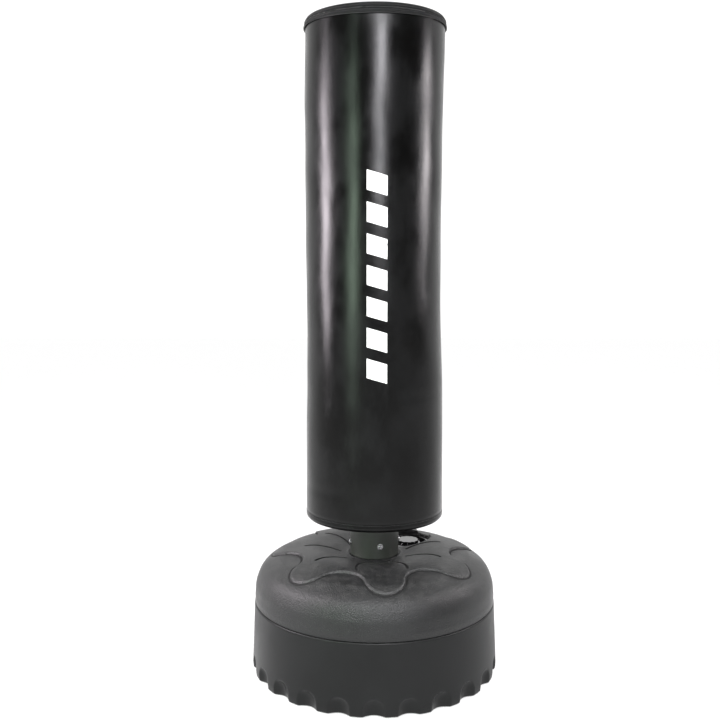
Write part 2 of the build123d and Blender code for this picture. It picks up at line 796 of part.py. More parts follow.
hem_band.part.label = "hem_band"
export_step(hem_band.part, "parts/hem_band.step")

teeth_inner = 180.1
teeth_outer = 181.9
teeth_half_height = 2.0

with BuildPart() as zip_tape:
    add(ring_section(teeth_inner - 2.6, teeth_inner - 0.1, zip_height - 3.2, zip_height + 3.2))
    revolve(axis=Axis.Z)

zip_tape.part.label = "zip_tape"
export_step(zip_tape.part, "parts/zip_tape.step")

with BuildPart() as zip_teeth:
    add(ring_section(teeth_inner, teeth_outer, zip_height - teeth_half_height, zip_height + teeth_half_height))
    revolve(axis=Axis.Z)

zip_teeth.part.label = "zip_teeth"
export_step(zip_teeth.part, "parts/zip_teeth.step")

lid_piping_radius = 2.3
lid_piping_ring = 171.5

with BuildPart() as lid_rim:
    with BuildSketch(Plane.XZ):
        Polygon(
            (teeth_inner - 3, rim_bottom),
            (teeth_inner, rim_bottom),
            (lid_piping_ring + 3.6, TOTAL_HEIGHT - 4),
            (lid_piping_ring + 2.6, TOTAL_HEIGHT - 5.5),
            align=None,
        )
    revolve(axis=Axis.Z)

lid_rim.part.label = "lid_rim"
export_step(lid_rim.part, "parts/lid_rim.step")

lid_piping = ring_cord(lid_piping_ring, TOTAL_HEIGHT - lid_piping_radius, lid_piping_radius)
lid_piping.label = "lid_piping"
export_step(lid_piping, "parts/lid_piping.step")

with BuildPart() as lid_panel:
    with BuildSketch(Plane.XY.offset(TOTAL_HEIGHT - 6)):
        Circle(lid_piping_ring - lid_piping_radius - GAP)
    extrude(amount=3)

lid_panel.part.label = "lid_panel"
export_step(lid_panel.part, "parts/lid_panel.step")


# Zip slider and pull, at the back

SLIDER_ARC = 4.4  # degrees of the zip that the slider covers
slider_inner = teeth_outer + GAP
slider_outer = slider_inner + 1.8
pin_radius = 0.8
pin_distance = slider_outer + 2.4
slider_start = Plane(origin=(0, 0, 0), x_dir=at_angle(1, 90 - SLIDER_ARC / 2), z_dir=at_angle(1, -SLIDER_ARC / 2))

with BuildPart() as zip_slider:
    with BuildSketch(slider_start):
        Polygon(
            (slider_inner, zip_height - teeth_half_height - GAP),
            (teeth_inner + 0.4, zip_height - teeth_half_height - GAP),
            (teeth_inner + 0.4, zip_height - teeth_half_height - GAP - 0.9),
            (slider_outer, zip_height - teeth_half_height - GAP - 0.9),
            (slider_outer, zip_height + teeth_half_height + GAP + 0.9),
            (teeth_inner + 0.4, zip_height + teeth_half_height + GAP + 0.9),
            (teeth_inner + 0.4, zip_height + teeth_half_height + GAP),
            (slider_inner, zip_height + teeth_half_height + GAP),
            align=None,
        )
    revolve(axis=Axis.Z, revolution_arc=SLIDER_ARC)
    # Two lugs and the pin that the pull hangs from.
    with BuildSketch(Plane.XZ.offset(-slider_outer + 0.4)):
        with Locations((-3.2, zip_height), (3.2, zip_height)):
            Rectangle(1.4, 3.4)
    extrude(amount=-(pin_distance - slider_outer + 2.0))
    with BuildSketch(Plane.YZ.offset(-3.2)):
        with Locations((pin_distance, zip_height)):
            Circle(pin_radius)
    extrude(amount=6.4)

zip_slider.part.label = "zip_slider"
export_step(zip_slider.part, "parts/zip_slider.step")

pull_length = 30.0

with BuildPart() as zip_pull:
    with BuildSketch(Plane.XZ.offset(-pin_distance + 0.8)):
        with Locations((0, zip_height)):
            Circle(2.1)
        with Locations((0, zip_height - 4)):
            Rectangle(4.2, 8)
        with Locations((0, zip_height - 5 - pull_length / 2)):
            RectangleRounded(9, pull_length - 6, 3)
        with Locations((0, zip_height - pull_length + 3)):
            Circle(1.8, mode=Mode.SUBTRACT)
    extrude(amount=-1.6)
    with BuildSketch(Plane.YZ.offset(-2.1)):
        with Locations((pin_distance, zip_height)):
            Circle(1.7)
    extrude(amount=4.2)
    with BuildSketch(Plane.YZ.offset(-4)):
        with Locations((pin_distance, zip_height)):
            Circle(pin_radius + 0.08)
    extrude(amount=8, mode=Mode.SUBTRACT)

zip_pull.part.label = "zip_pull"
export_step(zip_pull.part, "parts/zip_pull.step")
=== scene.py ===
import json
import math

import bpy
import bmesh
import numpy as np
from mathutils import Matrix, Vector


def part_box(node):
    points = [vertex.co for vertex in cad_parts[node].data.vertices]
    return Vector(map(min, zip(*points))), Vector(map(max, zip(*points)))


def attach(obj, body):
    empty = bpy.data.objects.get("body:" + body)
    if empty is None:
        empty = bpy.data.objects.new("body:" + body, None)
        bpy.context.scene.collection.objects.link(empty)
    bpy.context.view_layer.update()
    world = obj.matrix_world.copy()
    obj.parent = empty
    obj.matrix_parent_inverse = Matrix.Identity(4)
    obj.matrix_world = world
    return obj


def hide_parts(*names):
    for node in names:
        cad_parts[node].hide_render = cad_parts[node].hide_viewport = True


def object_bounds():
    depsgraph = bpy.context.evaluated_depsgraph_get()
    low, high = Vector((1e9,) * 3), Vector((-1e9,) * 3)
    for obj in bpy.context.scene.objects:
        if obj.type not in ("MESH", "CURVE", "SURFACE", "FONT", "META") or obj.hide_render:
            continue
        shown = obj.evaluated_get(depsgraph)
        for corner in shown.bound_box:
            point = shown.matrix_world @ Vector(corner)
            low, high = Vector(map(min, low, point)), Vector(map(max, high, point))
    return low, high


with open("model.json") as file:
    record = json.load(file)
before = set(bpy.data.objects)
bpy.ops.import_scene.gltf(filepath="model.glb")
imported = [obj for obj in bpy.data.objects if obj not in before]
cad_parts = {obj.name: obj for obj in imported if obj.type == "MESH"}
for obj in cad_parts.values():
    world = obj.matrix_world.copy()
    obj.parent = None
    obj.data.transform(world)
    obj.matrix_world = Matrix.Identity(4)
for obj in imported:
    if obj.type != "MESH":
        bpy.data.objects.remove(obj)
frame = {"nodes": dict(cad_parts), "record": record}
cad_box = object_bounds()

# The looks of a free-standing punching bag: a leathercloth bag with a zipped lid, on a short
# neck above a moulded base. Metres, +Z up, the front is -Y.
# Angles round the axis are measured from the front, positive towards +X.

TURN = 2 * math.pi

FOOT_RADIUS = 0.330
SEAM_RADIUS = 0.323
SEAM_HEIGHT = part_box("base_upper_shell")[0].z
FLUTES = 24
WELL_LOW, WELL_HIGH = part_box("filler_well")
WELL_CENTRE = (WELL_LOW + WELL_HIGH) / 2
WELL_RIM = (WELL_HIGH.x - WELL_LOW.x) / 2
WELL_SEAT = WELL_HIGH.z - 0.003

PETALS = 7
PETAL_TIP = 0.281
PETAL_ROUND = 0.051
VALLEY_RADIUS = 0.203
FRONT_PETAL = math.radians(6.5)

BAG_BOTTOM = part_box("bottom_panel")[0].z
BAG_RADIUS = 0.183
MEAN_RADIUS = 0.18
BAG_CORNER = 0.011
TOP = cad_box[1].z
BAND_BOTTOM = TOP - 0.026

# Radius and height, from the shoulder to the foot of the neck.
DOME_LINE = [(0.322, 0.204), (0.3175, 0.2405), (0.299, 0.275), (0.257, 0.301), (0.190, 0.3105),
             (0.125, 0.3075), (0.072, 0.304)]
CROWN_LINE = [(0.300, 0.278), (0.257, 0.3045), (0.205, 0.316), (0.165, 0.318), (0.120, 0.312), (0.072, 0.305)]
# Height and radius of the bag's side.
BAG_LINE = [(0.421, 0.1830), (0.70, 0.1803), (1.00, 0.1773), (1.30, 0.1783), (1.56, 0.1797), (1.68, 0.1800)]


# Small helpers for shapes


def smooth(share):
    share = np.clip(share, 0, 1)
    return share * share * (3 - 2 * share)


def curve_through(points, steps):
    """Points along a smooth line through the given ones, evenly shared between them."""
    points = np.array(points, float)
    padded = np.vstack([2 * points[0] - points[1], points, 2 * points[-1] - points[-2]])
    line = []
    for place in np.linspace(0, len(points) - 1, steps):
        span = min(int(place), len(points) - 2)
        t = place - span
        a, b, c, d = padded[span:span + 4]
        bent = 2 * b + (c - a) * t + (2 * a - 5 * b + 4 * c - d) * t**2
        line.append(0.5 * (bent + (3 * b - a - 3 * c + d) * t**3))
    return np.array(line)


def along(points, at):
    """The second value of a smooth line at the given first values."""
    line = curve_through(points, 400)
    order = np.argsort(line[:, 0])
    return np.interp(at, line[order, 0], line[order, 1])


def waves(angle, height, count, seed, longest=3.0, round_limit=5):
    """A soft, repeatable unevenness between about -1 and 1 that closes round the axis."""
    chance = np.random.default_rng(seed)
    total = np.zeros(np.broadcast(angle, height).shape)
    for _ in range(count):
        turns = chance.integers(1, round_limit + 1)
        rise = chance.uniform(1, 4) * TURN / longest
        start, lift = chance.uniform(0, TURN, 2)
        wander = 1.3 * np.sin(rise * height * 0.5 + lift)
        total += np.sin(turns * angle + start + wander) * np.sin(rise * height + lift)
    return total / math.sqrt(count)


def as_object(name, vertices, faces, uvs=None):
    mesh = bpy.data.meshes.new(name)
    mesh.from_pydata([tuple(v) for v in vertices], [], faces)
    if uvs is not None:
        layer = mesh.uv_layers.new(name="UVMap")
        layer.data.foreach_set("uv", np.asarray(uvs, np.float32).ravel())
    mesh.shade_smooth()
    thing = bpy.data.objects.new(name, mesh)
    bpy.context.collection.objects.link(thing)
    return thing


def turned(name, profile, steps, shape=None, closed=False, keep=None, marks=None):
    """A turned piece. The profile holds (radius, height) pairs, upwards on an outer side, so that
    faces point outwards. shape(angle, radius, height) may move them. keep(x, y, z) says which faces
    stay, and marks names extra values that are stored at the points."""
    profile = np.array(profile, float)
    rows = len(profile)
    angle = np.linspace(0, TURN, steps, endpoint=False)[None, :]
    radius = np.repeat(profile[:, :1], steps, 1)
    height = np.repeat(profile[:, 1:2], steps, 1)
    if shape:
        radius, height = shape(angle + 0 * radius, radius, height)
    x, y = radius * np.sin(angle), -radius * np.cos(angle)
    vertices = np.stack([x, y, height], -1).reshape(-1, 3)
    ends = np.vstack([profile, profile[:1]]) if closed else profile
    length = np.concatenate([[0], np.cumsum(np.linalg.norm(np.diff(ends, axis=0), axis=1))])
    reach = profile[:, 0].max()
    row = np.arange(rows if closed else rows - 1)[:, None]
    column = np.arange(steps)[None, :]
    above, beside = (row + 1) % rows, (column + 1) % steps
    corner = [row * steps + column, row * steps + beside, above * steps + beside, above * steps + column]
    faces = np.stack([c + 0 * row + 0 * column for c in corner], -1).reshape(-1, 4)
    u0, u1 = column / steps * TURN * reach, (column + 1) / steps * TURN * reach
    # The UV map is in metres: round the piece from the front, and along its profile.
    u0, u1 = (np.where(u >= math.pi * reach - 1e-9, u - TURN * reach, u) for u in (u0, u1 - 1e-6))
    v0, v1 = length[row], length[row + 1]
    zero = 0 * row + 0 * column
    face_corners = ((u0, v0), (u1, v0), (u1, v1), (u0, v1))
    uvs = np.stack([np.stack([a + zero, b + zero], -1) for a, b in face_corners], 2)
    uvs = uvs.reshape(-1, 4, 2)
    if keep is not None:
        middle = vertices[faces].mean(1)
        stays = keep(middle[:, 0], middle[:, 1], middle[:, 2])
        faces, uvs = faces[stays], uvs[stays]
    thing = as_object(name, vertices, faces.tolist(), uvs)
    for label, value in (marks or {}).items():
        store = thing.data.attributes.new(label, "FLOAT", "POINT")
        store.data.foreach_set("value", value(x, y).astype(np.float32).ravel())
    if keep is not None or profile[:, 0].min() < 1e-6:
        tidy_mesh(thing)
    return thing


def tidy_mesh(thing):
    """Close the poles and drop points that no face uses."""
    work = bmesh.new()
    work.from_mesh(thing.data)
    bmesh.ops.remove_doubles(work, verts=work.verts, dist=1e-6)
    bmesh.ops.delete(work, geom=[v for v in work.verts if not v.link_faces], context="VERTS")
    work.to_mesh(thing.data)
    work.free()
    thing.data.shade_smooth()


def ring_loop(middle_radius, middle_height, half_width, half_height, points=16):
    """An oval section, walked outer side up, top inwards, inner side down."""
    turns = np.linspace(0, TURN, points, endpoint=False)
    out, up = half_width * np.cos(turns), half_height * np.sin(turns)
    return np.stack([middle_radius + out, middle_height + up], -1)


def dress(thing, body, material=None, instead_of=()):
    """Give a finished piece its material and the body it moves with, and hide the nodes it stands for."""
    if material:
        thing.data.materials.clear()
        thing.data.materials.append(material)
    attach(thing, body)
    if instead_of:
        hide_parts(*instead_of)
    return thing


# Node trees


def put(tree, kind, inputs=None, **settings):
    """Add a node. inputs maps socket names or numbers to values or to the sockets that feed them."""
    made = tree.nodes.new(kind)
    for key, value in settings.items():
        setattr(made, key, value)
    for key, value in (inputs or {}).items():
        if isinstance(value, bpy.types.NodeSocket):
            tree.links.new(value, made.inputs[key])
        else:
            made.inputs[key].default_value = value
    return made


def maths(tree, operation, *values, clamp=False):
    """A Math node's result."""
    made = put(tree, "ShaderNodeMath", dict(enumerate(values)), operation=operation, use_clamp=clamp)
    return made.outputs[0]


def ranged(tree, value, low, high, to_low=0.0, to_high=1.0):
    """A value moved smoothly from one range to another and held at its ends."""
    given = {"Value": value, "From Min": low, "From Max": high, "To Min": to_low, "To Max": to_high}
    return put(tree, "ShaderNodeMapRange", given, interpolation_type="SMOOTHSTEP").outputs["Result"]


def mixed(tree, share, first, second):
    """Two colours mixed; sockets 6 and 7 of a Mix node are its colours, and output 2 is the result."""
    return put(tree, "ShaderNodeMix", {0: share, 6: first, 7: second}, data_type="RGBA").outputs[2]


def start_group(name, inputs, outputs, kind="ShaderNodeTree"):
    """A node group with named sockets. Inputs are (name, socket type, value)."""
    group = bpy.data.node_groups.new(name, kind)
    for label, socket, value in inputs:
        made = group.interface.new_socket(label, in_out="INPUT", socket_type=socket)
        if value is not None:
            made.default_value = value
    for label, socket in outputs:
        group.interface.new_socket(label, in_out="OUTPUT", socket_type=socket)
    return group, put(group, "NodeGroupInput"), put(group, "NodeGroupOutput")


FLOAT, COLOR = "NodeSocketFloat", "NodeSocketColor"


def pressed_place(group, given):
    """Object coordinates, multiplied along Z by the group's Stretch."""
    place = put(group, "ShaderNodeTexCoord").outputs["Object"]
    squeeze = put(group, "ShaderNodeCombineXYZ", {0: 1.0, 1: 1.0, 2: given.outputs["Stretch"]}).outputs[0]
    return put(group, "ShaderNodeVectorMath", {0: place, 1: squeeze}, operation="MULTIPLY").outputs[0]


def tone_group():
    """Uneven colour: a base colour that drifts towards a second one in soft patches."""
    group, given, result = start_group(
        "uneven tone",
        [("Color", COLOR, None), ("Second", COLOR, None), ("Size", FLOAT, 0.1), ("Stretch", FLOAT, 1.0)],
        [("Color", COLOR), ("Patches", FLOAT)])
    place = pressed_place(group, given)
    scale = maths(group, "DIVIDE", 1.0, given.outputs["Size"])
    broad = put(group, "ShaderNodeTexNoise",
                {"Vector": place, "Scale": scale, "Detail": 5.0, "Roughness": 0.6})
    patches = ranged(group, broad.outputs[0], 0.35, 0.65)
    color = mixed(group, patches, given.outputs["Color"], given.outputs["Second"])
    group.links.new(color, result.inputs["Color"])
    group.links.new(patches, result.inputs["Patches"])
    return group


def grain_group():
    """Moulded or leather grain: rounded cells with a finer roughness on them."""
    group, given, result = start_group(
        "grain", [("Size", FLOAT, 0.002), ("Stretch", FLOAT, 1.0), ("Fine", FLOAT, 0.4)], [("Height", FLOAT)])
    place = pressed_place(group, given)
    scale = maths(group, "DIVIDE", 1.0, given.outputs["Size"])
    cells = put(group, "ShaderNodeTexVoronoi", {"Vector": place, "Scale": scale}, feature="SMOOTH_F1")
    fine = put(group, "ShaderNodeTexNoise", {"Vector": place, "Scale": maths(group, "MULTIPLY", scale, 2.3),
                                             "Detail": 3.0}).outputs[0]
    rounded = maths(group, "MULTIPLY", cells.outputs[0], -0.8)
    height = maths(group, "MULTIPLY_ADD", fine, given.outputs["Fine"], rounded)
    group.links.new(height, result.inputs["Height"])
    return group


def weave_group():
    """Plain woven cloth, read from the piece's UV map in metres, with painted shade in the gaps between its
    threads.
    """
    group, given, result = start_group(
        "weave", [("Thread", FLOAT, 0.0006)], [("Height", FLOAT), ("Gap shade", FLOAT)])
    place = put(group, "ShaderNodeTexCoord").outputs["UV"]
    parts = put(group, "ShaderNodeSeparateXYZ", {0: place})
    pitch = maths(group, "DIVIDE", math.pi, given.outputs["Thread"])
    across = maths(group, "SINE", maths(group, "MULTIPLY", parts.outputs[0], pitch))
    down = maths(group, "SINE", maths(group, "MULTIPLY", parts.outputs[1], pitch))
    over = maths(group, "MULTIPLY", across, down)
    height = maths(group, "ABSOLUTE", over)
    group.links.new(height, result.inputs["Height"])
    # Painted shade: a mask that darkens the gaps between threads.
    group.links.new(ranged(group, height, 0.45, 0.0), result.inputs["Gap shade"])
    return group


def wear_group():
    """Rubbed edges and the dust that settles on upward faces."""
    group, given, result = start_group(
        "edge wear and dust", [("Edges", FLOAT, 0.3), ("Dust", FLOAT, 0.1), ("Size", FLOAT, 0.02)],
        [("Edges", FLOAT), ("Dust", FLOAT)])
    place = put(group, "ShaderNodeTexCoord").outputs["Object"]
    scale = maths(group, "DIVIDE", 1.0, given.outputs["Size"])
    patches = put(group, "ShaderNodeTexNoise", {"Vector": place, "Scale": scale, "Detail": 6.0}).outputs[0]
    shape = put(group, "ShaderNodeNewGeometry")
    edge = ranged(group, shape.outputs["Pointiness"], 0.52, 0.60)
    edge = maths(group, "MULTIPLY", edge, ranged(group, patches, 0.35, 0.6))
    group.links.new(maths(group, "MULTIPLY", edge, given.outputs["Edges"]), result.inputs["Edges"])
    up = put(group, "ShaderNodeSeparateXYZ", {0: shape.outputs["Normal"]}).outputs[2]
    dust = maths(group, "MULTIPLY", ranged(group, up, 0.55, 0.98), ranged(group, patches, 0.4, 0.75))
    group.links.new(maths(group, "MULTIPLY", dust, given.outputs["Dust"]), result.inputs["Dust"])
    return group


TONE, GRAIN, WEAVE, WEAR = tone_group(), grain_group(), weave_group(), wear_group()


def grouped(tree, group, **inputs):
    """A node group placed in a tree, with its own values or the sockets that feed them."""
    return put(tree, "ShaderNodeGroup", inputs, node_tree=group)


DUST = (0.32, 0.31, 0.30, 1)
PRINT_WHITE = (0.86, 0.86, 0.85, 1)


def grey(value, tint=0.0):
    """A dark neutral; a positive tint is cooler, a negative one warmer."""
    return (value * (1 - tint), value, value * (1 + tint), 1)


def finish(name, color, second, rough, patch=0.12, stretch=1.0, grain=0.0015, relief=0.0001, fine=0.4,
           grain_stretch=1.0, weave=0.0, edges=0.3, dust=0.1, worn=None, extra=None, **fixed):
    """A procedural finish. rough is the roughness of the two tones; fixed sets Principled sockets."""
    material = bpy.data.materials.new(name)
    material.use_nodes = True
    tree = material.node_tree
    shader = tree.nodes["Principled BSDF"]
    tone = grouped(tree, TONE, Color=color, Second=second, Size=patch, Stretch=stretch)
    wear = grouped(tree, WEAR, Edges=edges, Dust=dust)
    worn = worn or tuple(3 * c for c in color[:3]) + (1,)
    look = mixed(tree, wear.outputs["Edges"], tone.outputs["Color"], worn)
    look = mixed(tree, wear.outputs["Dust"], look, DUST)
    roughness = ranged(tree, tone.outputs["Patches"], 0.0, 1.0, rough[0], rough[1])
    roughness = maths(tree, "MULTIPLY_ADD", wear.outputs["Dust"], 0.5, roughness, clamp=True)
    if weave:
        cloth = grouped(tree, WEAVE, Thread=weave)
        height = cloth.outputs["Height"]
        # Painted shade darkens the colour in the gaps of the weave.
        look = mixed(tree, maths(tree, "MULTIPLY", cloth.outputs["Gap shade"], 0.6), look, grey(0.003))
    else:
        height = grouped(tree, GRAIN, Size=grain, Stretch=grain_stretch, Fine=fine).outputs["Height"]
    bump = put(tree, "ShaderNodeBump", {"Height": height, "Distance": relief, "Strength": 1.0})
    if extra:
        look, roughness, bump = extra(tree, look, roughness, bump)
    tree.links.new(look, shader.inputs["Base Color"])
    tree.links.new(roughness, shader.inputs["Roughness"])
    tree.links.new(bump.outputs[0], shader.inputs["Normal"])
    for label, value in fixed.items():
        shader.inputs[label.replace("_", " ")].default_value = value
    return material


# The printed column, in metres on the cover's UV map: across from the front, and up.
COLUMN_LEFT, COLUMN_RIGHT = -0.020, 0.032
COLUMN_LOW, COLUMN_HIGH = 0.386, 0.908
FIRST_BLOCK, BLOCK_PITCH, BLOCK_SLANT = 0.392, 0.0764, 0.28
BLOCK_LOW, BLOCK_HIGH = 0.004, 0.052


def printed_blocks(tree, look, roughness, bump):
    """A plain printed column of slanted blocks on the bag's front, rubbed thin in places."""
    parts = put(tree, "ShaderNodeSeparateXYZ", {0: put(tree, "ShaderNodeTexCoord").outputs["UV"]})
    across, up = parts.outputs[0], parts.outputs[1]

    def band(value, low, high, soft=0.0003):
        return maths(tree, "MULTIPLY", ranged(tree, value, low - soft, low + soft),
                     ranged(tree, value, high + soft, high - soft))

    slanted = maths(tree, "MULTIPLY_ADD", across, BLOCK_SLANT, maths(tree, "SUBTRACT", up, FIRST_BLOCK))
    block = maths(tree, "WRAP", slanted, 0.0, BLOCK_PITCH)
    blocks = maths(tree, "MULTIPLY", band(across, COLUMN_LEFT, COLUMN_RIGHT),
                   band(block, BLOCK_LOW, BLOCK_HIGH))
    ink = maths(tree, "MULTIPLY", blocks, band(up, COLUMN_LOW, COLUMN_HIGH))
    spots = put(tree, "ShaderNodeTexNoise", {"Vector": put(tree, "ShaderNodeTexCoord").outputs["Object"],
                                             "Scale": 160.0, "Detail": 6.0}).outputs[0]
    ink = maths(tree, "MULTIPLY", ink, ranged(tree, spots, 0.27, 0.33))
    look = mixed(tree, ink, look, PRINT_WHITE)
    roughness = maths(tree, "MULTIPLY_ADD", ink, 0.12, roughness, clamp=True)
    return look, roughness, bump


def moulded_lines_painted_light(tree, look, roughness, bump):
    """The dome's sharp moulded creases, coloured with painted light: painted shade darkens the foot of each
    petal's wall and the beds of the grooves, and a painted highlight lightens a thin lip along the top of
    each wall.
    Both attributes are distances in metres."""
    petal = put(tree, "ShaderNodeAttribute", attribute_name="petal_wall").outputs["Fac"]
    groove = put(tree, "ShaderNodeAttribute", attribute_name="groove_line").outputs["Fac"]
    # Painted shadow at the foot of each petal's wall.
    crease_painted_shade = maths(tree, "MULTIPLY", ranged(tree, petal, -0.0044, -0.0028),
                   ranged(tree, petal, 0.0006, -0.0006))
    # Painted shade in the beds of the grooves.
    groove_painted_shade = ranged(tree, groove, 0.0042, 0.0030)
    painted_line_shade = maths(tree, "MAXIMUM", crease_painted_shade, groove_painted_shade)
    # The painted shade takes the colour nearly to black.
    look = mixed(tree, maths(tree, "MULTIPLY", painted_line_shade, 0.96), look, grey(0.0004))
    # Painted highlight: a thin lighter lip along the top of each petal's wall.
    lip = maths(tree, "MULTIPLY", ranged(tree, petal, 0.0004, 0.0018), ranged(tree, petal, 0.0045, 0.0028))
    look = mixed(tree, maths(tree, "MULTIPLY", lip, 0.10), look, grey(0.08))
    deeper = put(tree, "ShaderNodeBump", {"Height": maths(tree, "MULTIPLY", painted_line_shade, -1.0), "Distance": 0.0012,
                                          "Normal": bump.outputs[0]})
    roughness = maths(tree, "MULTIPLY_ADD", painted_line_shade, 0.3, roughness, clamp=True)
    return look, roughness, deeper


def make_finishes():
    """A material for each slot of the record, and one for sewing thread. Each row holds the two tones
    and their roughness, and then what differs from a plain finish."""
    looks = {
        "skin_leather": (grey(0.0016, -0.03), grey(0.0042, 0.02), (0.17, 0.27), dict(
            patch=0.09, stretch=0.6, grain=0.0014, relief=0.00011, grain_stretch=3.0, edges=0.0, dust=0.04,
            extra=printed_blocks, Specular_IOR_Level=0.18)),
        "piping": (grey(0.004), grey(0.008), (0.35, 0.5), dict(
            grain=0.001, relief=0.00006, dust=0.05, Specular_IOR_Level=0.3)),
        "band_fabric": (grey(0.0030, 0.04), grey(0.0060, 0.08), (0.42, 0.6), dict(
            patch=0.04, weave=0.0009, relief=0.00015, edges=0.1, dust=0.02, Specular_IOR_Level=0.12)),
        "panel_fabric": (grey(0.010), grey(0.018), (0.7, 0.85), dict(
            patch=0.05, weave=0.0012, relief=0.0003, edges=0.1, dust=0.1)),
        # The dome's finish adds painted shade in its grooves and at its petals' feet, and a painted highlight
        # on their lips.
        "dome_plastic": (grey(0.0065, 0.02), grey(0.0105, 0.03), (0.36, 0.46), dict(
            patch=0.15, grain=0.0030, relief=0.00130, edges=0.2, dust=0.05, extra=moulded_lines_painted_light,
            Specular_IOR_Level=0.4)),
        "skirt_plastic": (grey(0.0060, 0.03), grey(0.0085, 0.03), (0.36, 0.46), dict(
            patch=0.2, grain=0.0009, relief=0.00005, edges=0.25, dust=0.05, Specular_IOR_Level=0.2)),
        "filler_plastic": (grey(0.006), grey(0.010), (0.10, 0.2), dict(
            grain=0.004, relief=0.00003, edges=0.2, dust=0.04, Coat_Weight=0.4, Coat_Roughness=0.06)),
        "seal_rubber": (grey(0.012), grey(0.02), (0.6, 0.75), dict(grain=0.001, relief=0.00005)),
        "neck_paint": ((0.034, 0.037, 0.032, 1), (0.040, 0.043, 0.038, 1), (0.34, 0.40), dict(
            patch=0.03, grain=0.0012, relief=0.00010, edges=0.0, dust=0.05, worn=(0.25, 0.25, 0.24, 1),
            Metallic=0.15)),
        "zinc": ((0.72, 0.72, 0.73, 1), (0.58, 0.58, 0.60, 1), (0.18, 0.34), dict(
            patch=0.01, grain=0.0006, relief=0.00003, edges=0.3, dust=0.05, worn=(0.85, 0.85, 0.85, 1),
            Metallic=1.0)),
        "plate_steel": ((0.40, 0.40, 0.41, 1), (0.30, 0.29, 0.28, 1), (0.35, 0.55), dict(
            patch=0.03, grain=0.0008, relief=0.00004, grain_stretch=0.2, worn=(0.6, 0.6, 0.6, 1),
            Metallic=1.0)),
        "core_paint": (grey(0.05), grey(0.07), (0.4, 0.55), dict(
            grain=0.001, relief=0.00006, worn=(0.35, 0.34, 0.33, 1))),
        "board_wood": ((0.45, 0.30, 0.17, 1), (0.58, 0.42, 0.26, 1), (0.6, 0.8), dict(
            patch=0.03, stretch=6.0, grain=0.003, relief=0.0002, grain_stretch=8.0, edges=0.2,
            worn=(0.65, 0.5, 0.33, 1))),
        "inner_plastic": (grey(0.05), grey(0.07), (0.45, 0.6), dict(relief=0.00006)),
        "textile_fill": ((0.30, 0.30, 0.33, 1), (0.18, 0.17, 0.20, 1), (0.85, 0.95), dict(
            patch=0.02, grain=0.006, relief=0.0015, fine=1.0)),
        "foam": ((0.16, 0.16, 0.18, 1), (0.22, 0.22, 0.24, 1), (0.8, 0.95), dict(
            patch=0.08, grain=0.0016, relief=0.0004, fine=0.8)),
        "zip_plastic": (grey(0.010, 0.03), grey(0.02), (0.22, 0.32), dict(grain=0.0008, relief=0.00003)),
        "zip_metal": (grey(0.02), grey(0.03), (0.2, 0.35), dict(
            grain=0.0008, relief=0.00003, worn=(0.3, 0.29, 0.27, 1), edges=0.25, Metallic=0.6)),
        "buffer_rubber": (grey(0.012), grey(0.022), (0.55, 0.75), dict(
            grain=0.0012, relief=0.0001, dust=0.2)),
        "thread": (grey(0.014), grey(0.03), (0.5, 0.7), dict(
            patch=0.01, grain=0.0004, relief=0.00008, grain_stretch=0.5, edges=0.0, dust=0.05)),
    }
    return {name: finish(name, first, second, rough, **rest)
            for name, (first, second, rough, rest) in looks.items()}


FINISH = make_finishes()


# Base


def petal_wall(x, y):
    """How far a point is inside the petals' outline, in metres; negative outside it."""
    radius = np.hypot(x, y)
    angle = np.arctan2(x, -y)
    step = TURN / PETALS
    off = np.abs((angle - FRONT_PETAL + step / 2) % step - step / 2)
    along_axis, across = radius * np.cos(off), radius * np.sin(off)
    middle = PETAL_TIP - PETAL_ROUND
    chord, half = middle * math.cos(step / 2), middle * math.sin(step / 2)
    valley_round = (half**2 + (chord - VALLEY_RADIUS) ** 2 - PETAL_ROUND**2) / (
        2 * (chord - VALLEY_RADIUS + PETAL_ROUND))
    valley = VALLEY_RADIUS + valley_round
    vx, vy = valley * math.cos(step / 2), valley * math.sin(step / 2)
    in_petal = PETAL_ROUND - np.hypot(along_axis - middle, across)
    in_valley = np.hypot(along_axis - vx, across - vy) - valley_round
    beyond = (vx - middle) * across - vy * (along_axis - middle) < 0
    return np.clip(np.where(beyond, in_petal, in_valley), -0.03, 0.03)


def groove_line(x, y):
    """How far a point is from the middle line of the nearest curved groove, in metres. The filler well
    takes the ninth groove's place."""
    nearest = np.full(np.shape(x), 0.02)
    inner, outer, bend = 0.092, 0.188, 0.009
    half = (outer - inner) / 2
    round_radius = (half**2 + bend**2) / (2 * bend)
    for degrees in (20, 60, 100, 180, -20, -60, -100, -140):
        turn = FRONT_PETAL + math.radians(degrees)
        side = 1 if degrees > 0 else -1
        # The groove's own frame: outwards, and sideways in the direction of its bend.
        out = x * math.sin(turn) - y * math.cos(turn)
        sideways = side * (x * math.cos(turn) + y * math.sin(turn))
        from_middle = out - (inner + outer) / 2
        low = sideways - bend + round_radius
        on_arc = np.abs(np.hypot(from_middle, low) - round_radius)
        at_ends = np.hypot(np.abs(from_middle) - half, sideways)
        nearest = np.minimum(nearest, np.where((np.abs(from_middle) < half) & (low > 0), on_arc, at_ends))
    return nearest


